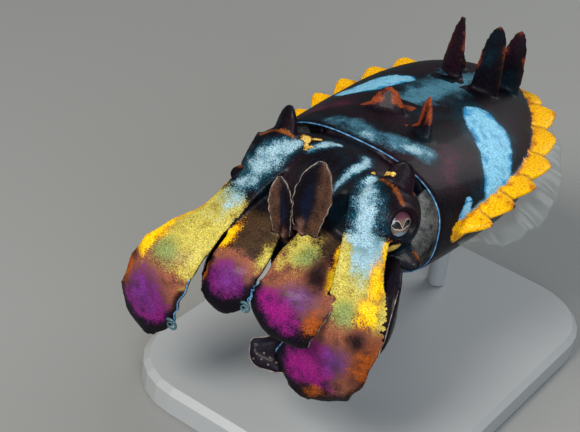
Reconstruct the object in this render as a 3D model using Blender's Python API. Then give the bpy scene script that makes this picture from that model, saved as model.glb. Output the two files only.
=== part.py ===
"""A flamboyant cuttlefish, life size, as a still museum model on a plain display stand.

The animal faces -Y, its left side is +X and its back is +Z. All sizes below are in millimetres, in the
animal's own frame: its centre is the middle of the mantle, level with the fins. place() moves each finished
piece onto the stand and turns it into metres, with the origin under the middle of the stand's base.
"""
import math

import bpy
import numpy as np
from mathutils import Matrix, Vector

MM = 0.001

# Where the animal's centre is, over the middle of the underside of the stand's base
BODY_CENTRE = Vector((0.0, 12.0, 47.0))
# Between pieces that touch
GAP = 0.3

# Mantle: stations from the front rim to the tail as (y, half width, height above, depth below, squareness)
MANTLE = [(-30, 18.4, 11.4, 12.4, 2.6), (-22, 19.7, 11.3, 13.3, 2.25), (-10, 21.0, 10.4, 13.3, 2.0),
          (1, 20.3, 9.6, 12.4, 1.95), (11, 17.7, 8.0, 10.6, 1.95), (19, 13.9, 6.2, 8.0, 2.0),
          (25.4, 8.6, 3.9, 4.8, 2.0), (27.6, 1.2, 0.8, 0.8, 2.0)]
TAIL_END = 27.6
# The tail is turned a little to the right: how far its end lies from the middle plane, and where the turn begins
TAIL_TURN = -4.0
TURN_FROM = -10.0
RIM = -30.0
RIM_ROUND = 0.5
RIM_WALL = 0.9
RIM_FLARE = 0.42
COLLAR_FLOOR = -22.0
NECK = (12.4, 9.2, 5.2)
NECK_FRONT = -33.0

# Head: stations from the neck to the arm crown as (y, half width, top, bottom)
HEAD = [(-33.3, 13.6, 11.0, -6.4), (-36, 14.8, 11.4, -7.6), (-39.5, 15.0, 10.6, -8.4), (-42.5, 13.8, 8.4, -8.6),
        (-45, 11.2, 4.4, -8.2), (-47, 7.8, 0.0, -7.2), (-48.3, 3.0, -3.0, -5.2)]
HEAD_SQUARENESS = 2.7

# Eyes: centre of the left eyeball, the way it looks, and the sizes of ball, bulge and lid opening
EYE_CENTRE = Vector((12.3, -38.6, 5.0))
EYE_AXIS = Vector((0.88, -0.34, 0.28)).normalized()
EYE_RADIUS = 4.0
EYE_BULGE = (5.3, 6.6)
EYE_BULGE_SUNK = 1.0
LID_OPENING = 2.4
LID_THICKNESS = 1.1
LID_SEAT = 3.9

AROUND = 28


def spline(values, t):
    """A smooth curve through rows of numbers, evenly spaced in t from 0 to 1."""
    rows = np.asarray(values, float)
    u = min(max(t, 0.0), 1.0) * (len(rows) - 1)
    i = min(int(u), len(rows) - 2)
    f = u - i
    before = rows[i - 1] if i > 0 else 2 * rows[i] - rows[i + 1]
    after = rows[i + 2] if i + 2 < len(rows) else 2 * rows[i + 1] - rows[i]
    a, b = rows[i], rows[i + 1]
    return a + 0.5 * f * (b - before + f * (2 * before - 5 * a + 4 * b - after
                                            + f * (3 * (a - b) + after - before)))


def along(stations, first):
    """The row of a table of stations at one value of its first column, by the smooth curve through the table."""
    rising = stations[-1][0] > stations[0][0]
    low, high = 0.0, 1.0
    for _ in range(40):
        middle = 0.5 * (low + high)
        if (spline(stations, middle)[0] < first) == rising:
            low = middle
        else:
            high = middle
    return spline(stations, low)


def side_of(point, side):
    """The same point on the left (1) or on the right (-1)."""
    return Vector((point[0] * side, point[1], point[2]))


def loft(name, rings, closed=False):
    """One closed skin through rings of points: each ring is bridged to the next and the two ends are filled."""
    count = len(rings[0])
    points = [tuple(p) for ring in rings for p in ring]
    faces = []
    for i in range(len(rings) - (0 if closed else 1)):
        a, b = i * count, ((i + 1) % len(rings)) * count
        for k in range(count):
            n = (k + 1) % count
            faces += [(a + k, a + n, b + n), (a + k, b + n, b + k)]
    if not closed:
        for start, turn in ((0, 1), ((len(rings) - 1) * count, -1)):
            centre = np.mean(points[start:start + count], axis=0)
            points.append(tuple(centre))
            middle = len(points) - 1
            for k in range(count):
                edge = (start + k, start + (k + 1) % count)[::turn]
                faces.append((middle, edge[1], edge[0]))
    mesh = bpy.data.meshes.new(name)
    mesh.from_pydata(points, [], faces)
    piece = bpy.data.objects.new(name, mesh)
    bpy.context.scene.collection.objects.link(piece)
    face_out(mesh)
    return piece


def face_out(mesh):
    """Turns a closed mesh so that its faces point outwards."""
    mesh.calc_loop_triangles()
    volume = sum(mesh.vertices[t.vertices[0]].co.dot(
        mesh.vertices[t.vertices[1]].co.cross(mesh.vertices[t.vertices[2]].co)) for t in mesh.loop_triangles)
    if volume < 0:
        mesh.flip_normals()


def combine(piece, others, operation, solver="EXACT"):
    """Joins others to piece, or cuts them from it, in one Boolean, and removes them."""
    group = bpy.data.collections.new(piece.name + "_" + operation)
    for other in others:
        group.objects.link(other)
    cut = piece.modifiers.new("combine", "BOOLEAN")
    cut.operation = operation
    cut.operand_type = "COLLECTION"
    cut.collection = group
    cut.solver = solver
    graph = bpy.context.evaluated_depsgraph_get()
    result = bpy.data.meshes.new_from_object(piece.evaluated_get(graph))
    piece.modifiers.clear()
    piece.data = result
    for other in others:
        bpy.data.objects.remove(other)
    bpy.data.collections.remove(group)
    keep_largest(piece)
    return piece


def keep_largest(piece):
    """Keeps the largest of the closed surfaces that a mesh holds."""
    mesh = piece.data
    parent = list(range(len(mesh.vertices)))

    def root(i):
        while parent[i] != i:
            parent[i] = parent[parent[i]]
            i = parent[i]
        return i

    for edge in mesh.edges:
        parent[root(edge.vertices[0])] = root(edge.vertices[1])
    volumes = {}
    mesh.calc_loop_triangles()
    for triangle in mesh.loop_triangles:
        a, b, c = (mesh.vertices[i].co for i in triangle.vertices)
        key = root(triangle.vertices[0])
        volumes[key] = volumes.get(key, 0.0) + a.dot(b.cross(c))
    if len(volumes) < 2:
        return
    largest = max(volumes, key=volumes.get)
    kept = [p for p in mesh.polygons if root(p.vertices[0]) == largest]
    used = sorted({v for p in kept for v in p.vertices})
    index = {v: i for i, v in enumerate(used)}
    clean = bpy.data.meshes.new(mesh.name)
    clean.from_pydata([mesh.vertices[v].co for v in used], [], [[index[v] for v in p.vertices] for p in kept])
    piece.data = clean


def squared_ring(y, half_width, top, bottom, squareness, count=AROUND):
    """A ring across the body: a rounded, slightly squared oval, with its own height above and depth below z 0."""
    ring = []
    power = 2.0 / squareness
    for k in range(count):
        angle = 2 * math.pi * k / count
        c, s = math.cos(angle), math.sin(angle)
        x = half_width * math.copysign(abs(c) ** power, c)
        z = (top if s > 0 else bottom) * abs(s) ** power
        ring.append((x, y, z))
    return ring


# Mantle

def turn_at(y):
    """How far the middle line of the mantle lies to the left at y."""
    share = min(1.0, max(0.0, (y - TURN_FROM) / (TAIL_END - TURN_FROM)))
    return TAIL_TURN * share * share * (3 - 2 * share)


def on_side(point, side):
    """A point of the mantle's left half, on the left (1) or on the right (-1) of its turned middle line."""
    return Vector((point[0] * side + turn_at(point[1]), point[1], point[2]))


def mantle_ring(y, grow=0.0, ahead=0.0):
    """The mantle's outline at y, grown outwards, and drawn ahead of where it was measured."""
    _, half_width, top, bottom, squareness = along(MANTLE, y)
    ring = squared_ring(y - ahead, half_width + grow, top + grow, -(bottom + grow), squareness)
    return [(x + turn_at(y), yy, z) for x, yy, z in ring]


def mantle_body(grow=0.0):
    """The mantle from the tail over its outside to the rim, into the collar round the neck, and out to the neck."""
    outside = [TAIL_END, 27.0, 25.8, 23.4, 20, 15.5, 10, 4, -3, -10, -17, -23, -27.5, RIM]
    rings = [mantle_ring(y, grow) for y in outside]
    rings.append(mantle_ring(RIM, -RIM_WALL / 2, RIM_ROUND + grow))
    for y in (RIM, -28, -25, COLLAR_FLOOR):
        rings.append(mantle_ring(y, -(RIM_WALL + RIM_FLARE * (y - RIM) ** 0.8) - grow))
    for y, flare in ((COLLAR_FLOOR, 0.0), (-29.5, 0.3), (-31.2, 1.3), (NECK_FRONT - grow, 1.5)):
        rings.append(squared_ring(y, NECK[0] + 0.8 * flare + grow, NECK[1] + flare + grow,
                                  -NECK[2] - 0.8 * flare - grow, HEAD_SQUARENESS))
    return loft("mantle", rings)


def flap(name, root, tip, size, facing, blunt=0.6, sides=8, steps=5):
    """A flat, blunt skin flap from root to tip. size is (width, thickness) at the root, facing is the way its
    flat side looks, and blunt is how wide it still is near the tip."""
    root, tip, facing = Vector(root), Vector(tip), Vector(facing)
    axis = (tip - root).normalized()
    flat = (facing - axis * facing.dot(axis)).normalized()
    wide = axis.cross(flat)
    rings = []
    for i in range(steps + 1):
        t = math.sin(0.5 * math.pi * i / steps)
        taper = (1 - (1 - blunt) * t) * math.sqrt(max(0.02, 1 - t ** 5))
        rings.append([root.lerp(tip, t) + wide * size[0] / 2 * taper * math.cos(angle)
                      + flat * size[1] / 2 * max(taper, 0.35) * math.sin(angle)
                      for angle in (2 * math.pi * k / sides for k in range(sides))])
    return loft(name, rings)


# The three pairs of skin flaps on the back: x and y of the root, x, y and z of the tip, (width, thickness and how
# wide it still is near the tip), and the way the flat side looks. The last one on the right is hardly raised.
BACK_FLAPS = [((6.2, -19.4), (4.2, -17.0, 17.0), (5.6, 2.2, 0.6), (-0.5, -0.86, 0)),
              ((-2.8, -18.2), (-4.4, -15.6, 14.8), (9.2, 2.4, 0.5), (0.3, -0.95, 0)),
              ((2.8, 8.6), (4.5, 6.0, 23.0), (5.8, 2.6, 0.8), (0.5, -0.85, 0)),
              ((-5.0, 9.4), (-4.7, 8.2, 21.0), (6.4, 2.6, 0.5), (-0.3, -0.95, 0)),
              ((3.8, 16.4), (4.5, 15.8, 18.8), (5.4, 2.4, 0.85), (0.3, -0.95, 0)),
              ((-6.8, 14.8), (-6.4, 15.2, 10.0), (5.0, 2.4, 0.6), (-0.3, -0.95, 0))]
FLAP_SUNK = 2.2

# The lobed ridge over the fin: the y of the creases between its lobes, then its height in front and behind and its
# least and greatest reach on the left (1) and on the right (-1), where it is lower, and its thickness
RIDGE_CREASES = (-24.6, -19.5, -12.8, -5.5, 3.4, 12.6, 20.0, 25.4)
RIDGE_HEIGHT = {1: (-1.2, 2.2), -1: (-0.8, 0.6)}
RIDGE_REACH = {1: (1.6, 4.0), -1: (0.4, 3.0)}
RIDGE_THICK = 2.4
RIDGE_EDGE = 0.6
RIDGE_SUNK = 2.4
RIDGE_STEPS = 5


def back_height(x, y):
    """How high the mantle's back is over a point."""
    _, half_width, top, _, squareness = along(MANTLE, y)
    return top * (1 - min(1.0, abs(x - turn_at(y)) / half_width) ** squareness) ** (1 / squareness)


def margin_point(y, height=0.0):
    """A point on the left side of the mantle at a height, and the way out from it, level."""
    _, half_width, top, bottom, squareness = along(MANTLE, y)
    share = min(0.95, abs(height) / max(top if height > 0 else bottom, 0.1))
    x = half_width * (1 - share ** squareness) ** (1 / squareness)
    slope = along(MANTLE, min(y + 0.5, TAIL_END))[1] - along(MANTLE, y - 0.5)[1]
    return Vector((x, y, height)), Vector((1.0, -slope, 0.0)).normalized()


def ridge(side):
    """The strip of pointed skin lobes over one fin."""
    lobes = len(RIDGE_CREASES) - 1
    steps = RIDGE_STEPS * lobes
    (front, rear), (least, most) = RIDGE_HEIGHT[side], RIDGE_REACH[side]
    rings = []
    for i in range(steps + 1):
        t = i / steps
        lobe, phase = min(i // RIDGE_STEPS, lobes - 1), i / RIDGE_STEPS - min(i // RIDGE_STEPS, lobes - 1)
        y = RIDGE_CREASES[lobe] + (RIDGE_CREASES[lobe + 1] - RIDGE_CREASES[lobe]) * phase
        root, out = margin_point(y, front + (rear - front) * math.sin(0.5 * math.pi * min(1.0, 2.2 * t)))
        ends = min(1.0, 6 * t + 0.1, 6 * (1 - t) + 0.1)
        point = 1 - abs(2 * phase - 1) ** 1.4
        reach = (least + (most - least) * point) * ends
        lift = Vector((0, 0, 0.45 * reach))
        thick = RIDGE_THICK * (0.6 + 0.4 * ends) / 2
        edge = Vector((0, 0, RIDGE_EDGE / 2))
        ring = [root - out * RIDGE_SUNK + Vector((0, 0, thick)), root + out * reach + lift + edge,
                root + out * reach + lift - edge, root - out * RIDGE_SUNK - Vector((0, 0, thick))]
        rings.append([on_side(p, side) for p in ring])
    return loft("ridge", rings)


def make_mantle():
    extras = [ridge(1), ridge(-1)]
    for (x, y), tip, size, facing in BACK_FLAPS:
        root = (x, y, back_height(x, y) - FLAP_SUNK)
        extras.append(flap("back_flap", root, tip, size, facing, size[2]))
    return combine(mantle_body(), extras, "UNION")


# Head

def head_ring(y, grow=0.0, count=26):
    _, half_width, top, bottom = along(HEAD, y)
    middle = 0.5 * (top + bottom)
    ring = squared_ring(y, half_width + grow, top - middle + grow, bottom - middle - grow, HEAD_SQUARENESS, count)
    return [(x, yy, z + middle) for x, yy, z in ring]


def head_dome(grow=0.0):
    stations = [-33.3 + grow, -35, -37, -39.5, -42, -44, -45.6, -46.8, -47.7, -48.3 - grow]
    rings = [head_ring(y, grow) for y in stations]
    return loft("head", rings)


def ball(name, centre, radii, axis=(0, 0, 1), columns=14, rows=8):
    """An ellipsoid. radii are (along the axis, across it)."""
    turn = Vector((0, 0, 1)).rotation_difference(Vector(axis)).to_matrix()
    rings = []
    for i in range(1, rows):
        angle = math.pi * i / rows
        ring = []
        for k in range(columns):
            around = 2 * math.pi * k / columns
            local = Vector((radii[1] * math.sin(angle) * math.cos(around),
                            radii[1] * math.sin(angle) * math.sin(around), radii[0] * math.cos(angle)))
            ring.append(Vector(centre) + turn @ local)
        rings.append(ring)
    return loft(name, rings)


def ring_tube(name, centre, axis, radius, thickness, count=16, sides=5):
    """A torus round an axis."""
    turn = Vector((0, 0, 1)).rotation_difference(Vector(axis)).to_matrix()
    rings = []
    for i in range(count):
        a = 2 * math.pi * i / count
        ring = []
        for k in range(sides):
            b = 2 * math.pi * k / sides
            reach = radius + thickness / 2 * math.cos(b)
            ring.append(Vector(centre) + turn @ Vector((reach * math.cos(a), reach * math.sin(a),
                                                        thickness / 2 * math.sin(b))))
        rings.append(ring)
    return loft(name, rings, closed=True)


# Flaps over and under the left eye: root, tip, (width, thickness), the way the flat side looks
EYE_FLAPS = [((11.4, -36.8, 8.0), (12.0, -35.4, 14.7), (6.6, 4.2), (0.4, -0.9, 0.1)),
             ((13.5, -38.2, 0.0), (20.0, -39.2, -0.8), (5.6, 3.6), (0.1, -0.7, 0.6))]


def eye_forms(side, grow=0.0):
    """What stands out from the head round one eye: the bulge, the lid and the flaps over and under it."""
    centre, axis = side_of(EYE_CENTRE, side), side_of(EYE_AXIS, side)
    forms = [ball("bulge", centre - axis * EYE_BULGE_SUNK, (EYE_BULGE[0] + grow, EYE_BULGE[1] + grow), axis),
             ring_tube("lid", centre + axis * LID_SEAT, axis, LID_OPENING + LID_THICKNESS / 2,
                       LID_THICKNESS + 2 * grow)]
    for root, tip, size, facing in EYE_FLAPS:
        root, tip = side_of(root, side), side_of(tip, side)
        forms.append(flap("eye_flap", root, tip + (tip - root).normalized() * 2 * grow,
                          (size[0] + 3 * grow, size[1] + 3 * grow), side_of(facing, side)))
    return forms


def make_head():
    extras, sockets = [], []
    for side in (1, -1):
        centre, axis = side_of(EYE_CENTRE, side), side_of(EYE_AXIS, side)
        extras += eye_forms(side)
        sockets.append(ball("socket", centre, (EYE_RADIUS + GAP,) * 2, axis))
        across = axis.orthogonal().normalized()
        over = axis.cross(across)
        bore = [[centre + axis * d + (across * math.cos(a) + over * math.sin(a)) * LID_OPENING
                 for a in (2 * math.pi * k / 16 for k in range(16))] for d in (1.0, 8.0)]
        sockets.append(loft("opening", bore))
    head = combine(head_dome(), extras, "UNION")
    cutters = combine(sockets[0], sockets[1:2], "UNION"), combine(sockets[2], sockets[3:], "UNION")
    return combine(head, list(cutters) + [mantle_body(GAP)], "DIFFERENCE", "MANIFOLD")


def head_space():
    """The head with the gap round it, which is cut from what meets it."""
    return combine(head_dome(GAP), eye_forms(1, GAP) + eye_forms(-1, GAP), "UNION", "MANIFOLD")


def make_eye(name, side):
    return ball(name, side_of(EYE_CENTRE, side), (EYE_RADIUS,) * 2, side_of(EYE_AXIS, side), 14, 9)


# Arms. line holds the middle of the outer face from the head to the tip as (x, y, z, half width). out is the
# way the outer face looks, from root to tip. cup is the angle by which the edges bend back, and core is the
# thickness of the round muscle that carries the suckers, along the edge that is nearer the middle.
ARMS = {
    "arm_1_right": {
        "line": [(-2.2, -44.0, -1.6, 1.5), (-1.8, -47.6, -0.4, 1.9), (-1.6, -48.9, 2.9, 2.4),
                 (-2.3, -49.2, 6.6, 2.9), (-3.5, -49.0, 10.4, 1.7)],
        "out": [(0, 0.35, 0.9), (-0.2, 0.8, 0.6), (-0.4, 0.9, 0.1), (-0.5, 0.85, 0)], "cup": 1.15, "core": 1.8,
        "split": False},
    "arm_1_left": {
        "line": [(2.2, -43.6, -1.4, 1.6), (2.4, -46.6, 1.4, 2.3), (2.9, -48.0, 6.0, 3.4),
                 (3.4, -48.3, 10.8, 4.1), (3.8, -48.2, 16.4, 2.4)],
        "out": [(0, 0.35, 0.9), (-0.1, 0.8, 0.6), (-0.3, 0.9, 0.1), (-0.3, 0.92, 0)], "cup": 1.0, "core": 1.8,
        "split": False},
    "arm_2_right": {
        "line": [(-5.6, -41.5, 5.2, 3.5), (-5.6, -48.0, 1.2, 4.0), (-5.2, -54.0, -2.7, 4.9),
                 (-5.1, -57.5, -5.4, 5.0), (-5.1, -59.0, -8.8, 5.0), (-4.8, -59.5, -11.4, 4.4),
                 (-4.6, -59.0, -13.6, 2.4)],
        "out": [(-0.1, -0.1, 1), (0.05, -0.75, 0.6), (0.1, -0.95, 0.25)], "cup": 0.5, "core": 3.0,
        "split": True},
    "arm_2_left": {
        "line": [(5.8, -41.0, 6.0, 3.6), (5.6, -46.6, 2.4, 4.1), (6.1, -52.4, -1.0, 5.7),
                 (7.3, -57.0, -4.0, 6.8), (6.5, -59.1, -7.8, 7.0), (5.3, -59.3, -10.8, 6.5),
                 (4.6, -58.8, -12.8, 3.8)],
        "out": [(0.1, -0.1, 1), (0.15, -0.8, 0.6), (0.12, -0.95, 0.25)], "cup": 0.5, "core": 3.0, "split": True},
    "arm_3_right": {
        "line": [(-10.0, -40.5, 7.6, 4.4), (-12.4, -46.0, 3.2, 4.1), (-13.9, -51.2, -1.2, 3.9),
                 (-15.6, -56.5, -4.2, 5.3), (-17.0, -60.8, -8.0, 6.5), (-18.4, -62.5, -14.6, 6.5),
                 (-18.5, -62.0, -20.4, 5.5), (-18.2, -61.0, -24.6, 2.6)],
        "out": [(-0.3, -0.1, 0.95), (0.0, -0.7, 0.7), (0.05, -0.95, 0.2)], "cup": 0.45, "core": 3.4,
        "split": True},
    "arm_3_left": {
        "line": [(10.0, -40.5, 8.2, 4.2), (12.6, -45.2, 5.2, 4.1), (15.2, -50.0, 0.6, 4.3),
                 (16.9, -52.8, -4.4, 5.4), (16.0, -54.6, -11.8, 6.9), (11.7, -54.7, -20.3, 7.9),
                 (9.6, -54.0, -25.8, 4.4)],
        "out": [(0.4, -0.1, 0.9), (0.4, -0.65, 0.6), (0.2, -0.95, 0.1)], "cup": 0.45, "core": 3.4, "split": True},
    "arm_4_right": {
        "line": [(-8.4, -41.5, -6.2, 3.8), (-11.0, -46.0, -8.8, 4.0), (-12.4, -49.4, -12.0, 4.0),
                 (-11.6, -51.2, -15.6, 3.6), (-9.8, -52.2, -18.4, 0.9)],
        "out": [(-0.5, 0.3, -0.8), (-0.8, 0.4, -0.4), (-0.8, 0.4, -0.3)], "cup": 0.5, "core": 3.0,
        "split": True},
    "arm_4_left": {
        "line": [(8.4, -41.0, -6.0, 3.8), (16.4, -42.4, -4.0, 4.0), (21.0, -45.8, -5.4, 4.4),
                 (20.4, -46.8, -12.0, 4.4), (13.8, -48.0, -18.2, 3.8), (6.4, -50.4, -21.0, 4.0),
                 (1.6, -52.8, -21.2, 3.6), (-1.2, -53.6, -20.0, 1.6)],
        "out": [(0.4, 0.4, -0.8), (0.9, 0.45, -0.1), (0.5, 0.7, -0.5), (-0.1, 0.85, -0.5)], "cup": 0.5,
        "core": 3.0, "split": True},
}
EDGE = 0.8
ACROSS = 7
# Where the muscle lies across the blade, from -1 to 1, and how far along the arm it gets there
CORE_AT = 0.55
CORE_SHIFT = 0.45
TIP_ROUND = 0.10
SPLIT_AT = 0.44
ROOT_STEPS = 6
BLADE_STEPS = 9


def arm_side(arm):
    return 1 if arm.endswith("left") else -1


def arm_frame(arm, t):
    """The middle point, half width, way along, outer normal and width direction of an arm at t."""
    line = ARMS[arm]["line"]
    row = spline(line, t)
    ahead = spline(line, min(t + 0.02, 1.0)) - spline(line, max(t - 0.02, 0.0))
    ahead = Vector(ahead[:3]).normalized()
    normal = Vector(spline(ARMS[arm]["out"], t))
    normal = (normal - ahead * normal.dot(ahead)).normalized()
    half = float(row[3])
    if t > 1 - TIP_ROUND:
        half *= math.sqrt(max(0.3, 1 - ((t - 1 + TIP_ROUND) / TIP_ROUND) ** 2))
    return Vector(row[:3]), half, ahead, normal, ahead.cross(normal)


def arm_surface(arm, t, s, grow=0.0):
    """The points of the outer and the inner face at t along the arm and s, from -1 to 1, across it."""
    facts = ARMS[arm]
    centre, half, _, normal, across = arm_frame(arm, t)
    bend = facts["cup"] * min(1.0, 0.4 + t)
    x = half * math.sin(s * bend) / bend
    z = -half * (1 - math.cos(s * bend)) / bend
    core = facts["core"] * (1.25 - 0.75 * t) * min(1.0, half / 2.5)
    core_at = arm_side(arm) * CORE_AT * min(1.0, t / CORE_SHIFT)
    spread = 1.1 - 0.45 * min(1.0, t / CORE_SHIFT)
    bump = math.exp(-((s - core_at) / spread) ** 2) * max(0.0, 1 - s * s) ** 0.35
    thick = EDGE + max(0.0, core - EDGE) * bump
    lean = normal * math.cos(s * bend) + across * math.sin(s * bend)
    outer = centre + across * x + normal * z
    return outer + lean * grow + across * grow * s, outer - lean * (thick + grow) + across * grow * s


def arm_ring(arm, t, grow=0.0):
    steps = [math.sin(0.5 * math.pi * (-1 + 2 * i / (ACROSS - 1))) for i in range(ACROSS)]
    pairs = [arm_surface(arm, t, s, grow) for s in steps]
    return [p[0] for p in pairs] + [p[1] for p in reversed(pairs)]


def arm_length(arm):
    points = [spline(ARMS[arm]["line"], i / 50)[:3] for i in range(51)]
    return sum(float(np.linalg.norm(b - a)) for a, b in zip(points, points[1:]))


def arm_stops(arm):
    """Where along an arm its rings are: those of its root and those of its blade, with the gap between."""
    half_gap = GAP / arm_length(arm) / 2
    root = [(SPLIT_AT - half_gap) * i / ROOT_STEPS for i in range(ROOT_STEPS + 1)]
    start = SPLIT_AT + half_gap
    blade = [start + (1 - start) * math.sin(0.5 * math.pi * i / BLADE_STEPS) for i in range(BLADE_STEPS + 1)]
    return root, blade


def arm_solid(name, arm, stops, grow=0.0):
    return loft(name, [arm_ring(arm, t, grow) for t in stops])


# Suckers: how many pairs each pair of arms has and where along the arm they start, where they all end, how far
# each row is from the middle of the muscle, as a share of the half width, their radius at the root and at the
# tip, and the largest share of the half width that it may be
SUCKER_PAIRS = {"arm_1": 3, "arm_2": 5, "arm_3": 6, "arm_4": 5}
SUCKER_START = {"arm_1": 0.52, "arm_2": 0.30, "arm_3": 0.30, "arm_4": 0.30}
SUCKER_END = 0.92
SUCKER_SPREAD = 0.26
SUCKER_RADIUS = (0.8, 0.42)
SUCKER_SHARE = 0.2
SUCKER_SUNK = 0.5
SUCKER_MARGIN = 0.03
SUCKER_SIDES = 5


def sucker(centre, axis, radius, grow):
    """A short round cup with a dimple."""
    across = axis.orthogonal().normalized()
    over = axis.cross(across)
    rings = [[centre + axis * (height + grow) + (across * math.cos(a) + over * math.sin(a)) * (reach + grow)
              for a in (2 * math.pi * k / SUCKER_SIDES for k in range(SUCKER_SIDES))]
             for height, reach in ((-SUCKER_SUNK, 0.8 * radius), (0.7 * radius, radius), (0.3 * radius, 0.5 * radius))]
    return loft("sucker", rings)


def arm_suckers(arm, start, end, grow=0.0):
    """The cups in two rows along the muscle, between two places along the arm."""
    count, first = 2 * SUCKER_PAIRS[arm[:5]], SUCKER_START[arm[:5]]
    made = []
    for i in range(count):
        t = first + (SUCKER_END - first) * i / (count - 1)
        if not start + SUCKER_MARGIN < t < end - SUCKER_MARGIN:
            continue
        muscle = arm_side(arm) * CORE_AT * min(1.0, t / CORE_SHIFT)
        s = muscle + (SUCKER_SPREAD if i % 2 else -SUCKER_SPREAD)
        outer, inner = arm_surface(arm, t, max(-0.9, min(0.9, s)))
        radius = SUCKER_RADIUS[0] + (SUCKER_RADIUS[1] - SUCKER_RADIUS[0]) * t
        radius = min(radius, SUCKER_SHARE * arm_frame(arm, t)[1])
        made.append(sucker(inner, (inner - outer).normalized(), radius, grow))
    return made


# The coiled tip of the muscle, which lies against the blade's inner edge: where it is along the arm, the radius
# of the coil, its turns and the thickness of the tip
CURLS = {"arm_2_right": 0.84, "arm_2_left": 0.86, "arm_3_right": 0.88, "arm_3_left": 0.90, "arm_4_right": 0.80,
         "arm_4_left": 0.90}
CURL_RADIUS = 1.5
CURL_TURNS = 1.15
CURL_THICK = 1.2
CURL_STEPS = 11
CURL_SIDES = 5


def tip_curl(arm, grow=0.0):
    centre, half, ahead, normal, across = arm_frame(arm, CURLS[arm])
    inward = across * arm_side(arm)
    centre = centre + inward * half * 0.72 - normal * 0.3
    rings = []
    for i in range(CURL_STEPS + 1):
        t = i / CURL_STEPS
        angle = 2 * math.pi * (CURL_TURNS * t - 0.35)
        outward = inward * math.cos(angle) + ahead * math.sin(angle)
        middle = centre + outward * CURL_RADIUS * (1 - 0.72 * t)
        thick = CURL_THICK / 2 * (1 - 0.45 * t) + grow
        rings.append([middle + (outward * math.cos(a) + normal * math.sin(a)) * thick
                      for a in (2 * math.pi * k / CURL_SIDES for k in range(CURL_SIDES))])
    return loft("curl", rings)


def arm_space(arm):
    """A whole arm with the gap round it, which is cut from what lies against it."""
    root, blade = arm_stops(arm)
    forms = arm_suckers(arm, 0.0, 1.0, GAP)
    if arm in CURLS:
        forms.append(tip_curl(arm, GAP))
    return combine(arm_solid("clear", arm, root + blade, GAP), forms, "UNION", "MANIFOLD")


def make_arm(arm, neighbours):
    """The nodes of one arm: one piece, or a root and a blade, each cut clear of the head and of its neighbours."""
    root, blade = arm_stops(arm)
    lengths = [(arm, root + blade)]
    if ARMS[arm]["split"]:
        lengths = [(arm + "_root", root), (arm + "_blade", blade)]
    made = []
    for name, stops in lengths:
        piece = arm_solid(name, arm, stops)
        forms = arm_suckers(arm, stops[0], stops[-1])
        if name.endswith("_blade"):
            forms.append(tip_curl(arm))
        combine(piece, forms, "UNION", "MANIFOLD")
        cutters = [arm_space(neighbour) for neighbour in neighbours]
        if stops[0] == 0.0:
            cutters.append(head_space())
            if arm.startswith("arm_4"):
                cutters.append(funnel_form(GAP))
        if cutters:
            combine(piece, cutters, "DIFFERENCE", "MANIFOLD")
        made.append(piece)
    return made


# Fins: how far they reach from the mantle's side, where they grow, and their waves
FIN_SPAN = (-24.0, 27.0)
FIN_REACH = 6.0
FIN_HEIGHT = (-3.4, -0.4)
FIN_WAVES = 5.5
FIN_THICK = 0.7
FIN_ROOT_GAP = 0.35


def fin_grid(side, rows=28, columns=3):
    """The middle surface of one fin as rows along the body of points from the root outwards."""
    grid = []
    for i in range(rows + 1):
        t = i / rows
        y = FIN_SPAN[0] + (FIN_SPAN[1] - FIN_SPAN[0]) * t
        height = FIN_HEIGHT[0] + (FIN_HEIGHT[1] - FIN_HEIGHT[0]) * math.sin(0.5 * math.pi * min(1.0, 2.2 * t))
        root, out = margin_point(y, height)
        reach = FIN_REACH * min(1.0, 4.5 * t + 0.12) * (1 - 0.35 * t ** 3)
        row = []
        for j in range(columns + 1):
            u = j / columns
            wave = 0.8 * u * math.sin(2 * math.pi * FIN_WAVES * t)
            point = root + out * (FIN_ROOT_GAP + reach * u) + Vector((0, 0, -0.30 * reach * u * u + wave))
            row.append(on_side(point, side))
        grid.append(row)
    return grid


def make_fin(name, side):
    rings = []
    for row in fin_grid(side):
        upper = [p + Vector((0, 0, FIN_THICK / 2)) for p in row]
        lower = [p - Vector((0, 0, FIN_THICK / 2)) for p in reversed(row)]
        rings.append(upper + lower)
    return combine(loft(name, rings), [mantle_body(GAP)], "DIFFERENCE")


# Funnel: stations from the floor of the collar to the mouth as (y, half width, half height, z)
FUNNEL = [(-22.4, 7.0, 1.9, -8.2), (-29.0, 6.0, 2.1, -8.9), (-36.0, 4.2, 2.2, -10.8), (-41.0, 3.2, 2.3, -12.0),
          (-44.0, 2.8, 2.3, -12.6)]
FUNNEL_WALL = 0.8
FUNNEL_SIDES = 12


def funnel_ring(station, grow):
    y, half_width, half_height, z = station
    return [(((half_width + grow) * math.cos(a)), y, z + (half_height + grow) * math.sin(a))
            for a in (2 * math.pi * k / FUNNEL_SIDES for k in range(FUNNEL_SIDES))]


def funnel_form(grow=0.0):
    return loft("funnel", [funnel_ring(spline(FUNNEL, i / 8), grow) for i in range(9)])


def make_funnel():
    """A soft nozzle under the head, open at the front for half of its length."""
    stations = [spline(FUNNEL, i / 8) for i in range(9)]
    rings = [funnel_ring(s, 0.0) for s in stations] + [funnel_ring(s, -FUNNEL_WALL) for s in stations[:3:-1]]
    return loft("funnel", rings)


MOUTH_CENTRE = Vector((0.0, -47.8, -6.0))
MOUTH_AXIS = Vector((0.0, -0.9, -0.45)).normalized()
MOUTH_RADII = (2.6, 3.2)
MOUTH_HOLE = 1.0


def make_mouth():
    """The round of the lips in the middle of the arms, with the dimple of the closed mouth."""
    lips = ball("mouth", MOUTH_CENTRE, MOUTH_RADII, MOUTH_AXIS, 12, 7)
    dimple = ball("dimple", MOUTH_CENTRE + MOUTH_AXIS * MOUTH_RADII[0], (MOUTH_HOLE,) * 2, MOUTH_AXIS, 8, 5)
    return combine(lips, [dimple, head_dome(GAP)] + [arm_space(arm) for arm in ARMS], "DIFFERENCE", "MANIFOLD")


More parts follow.
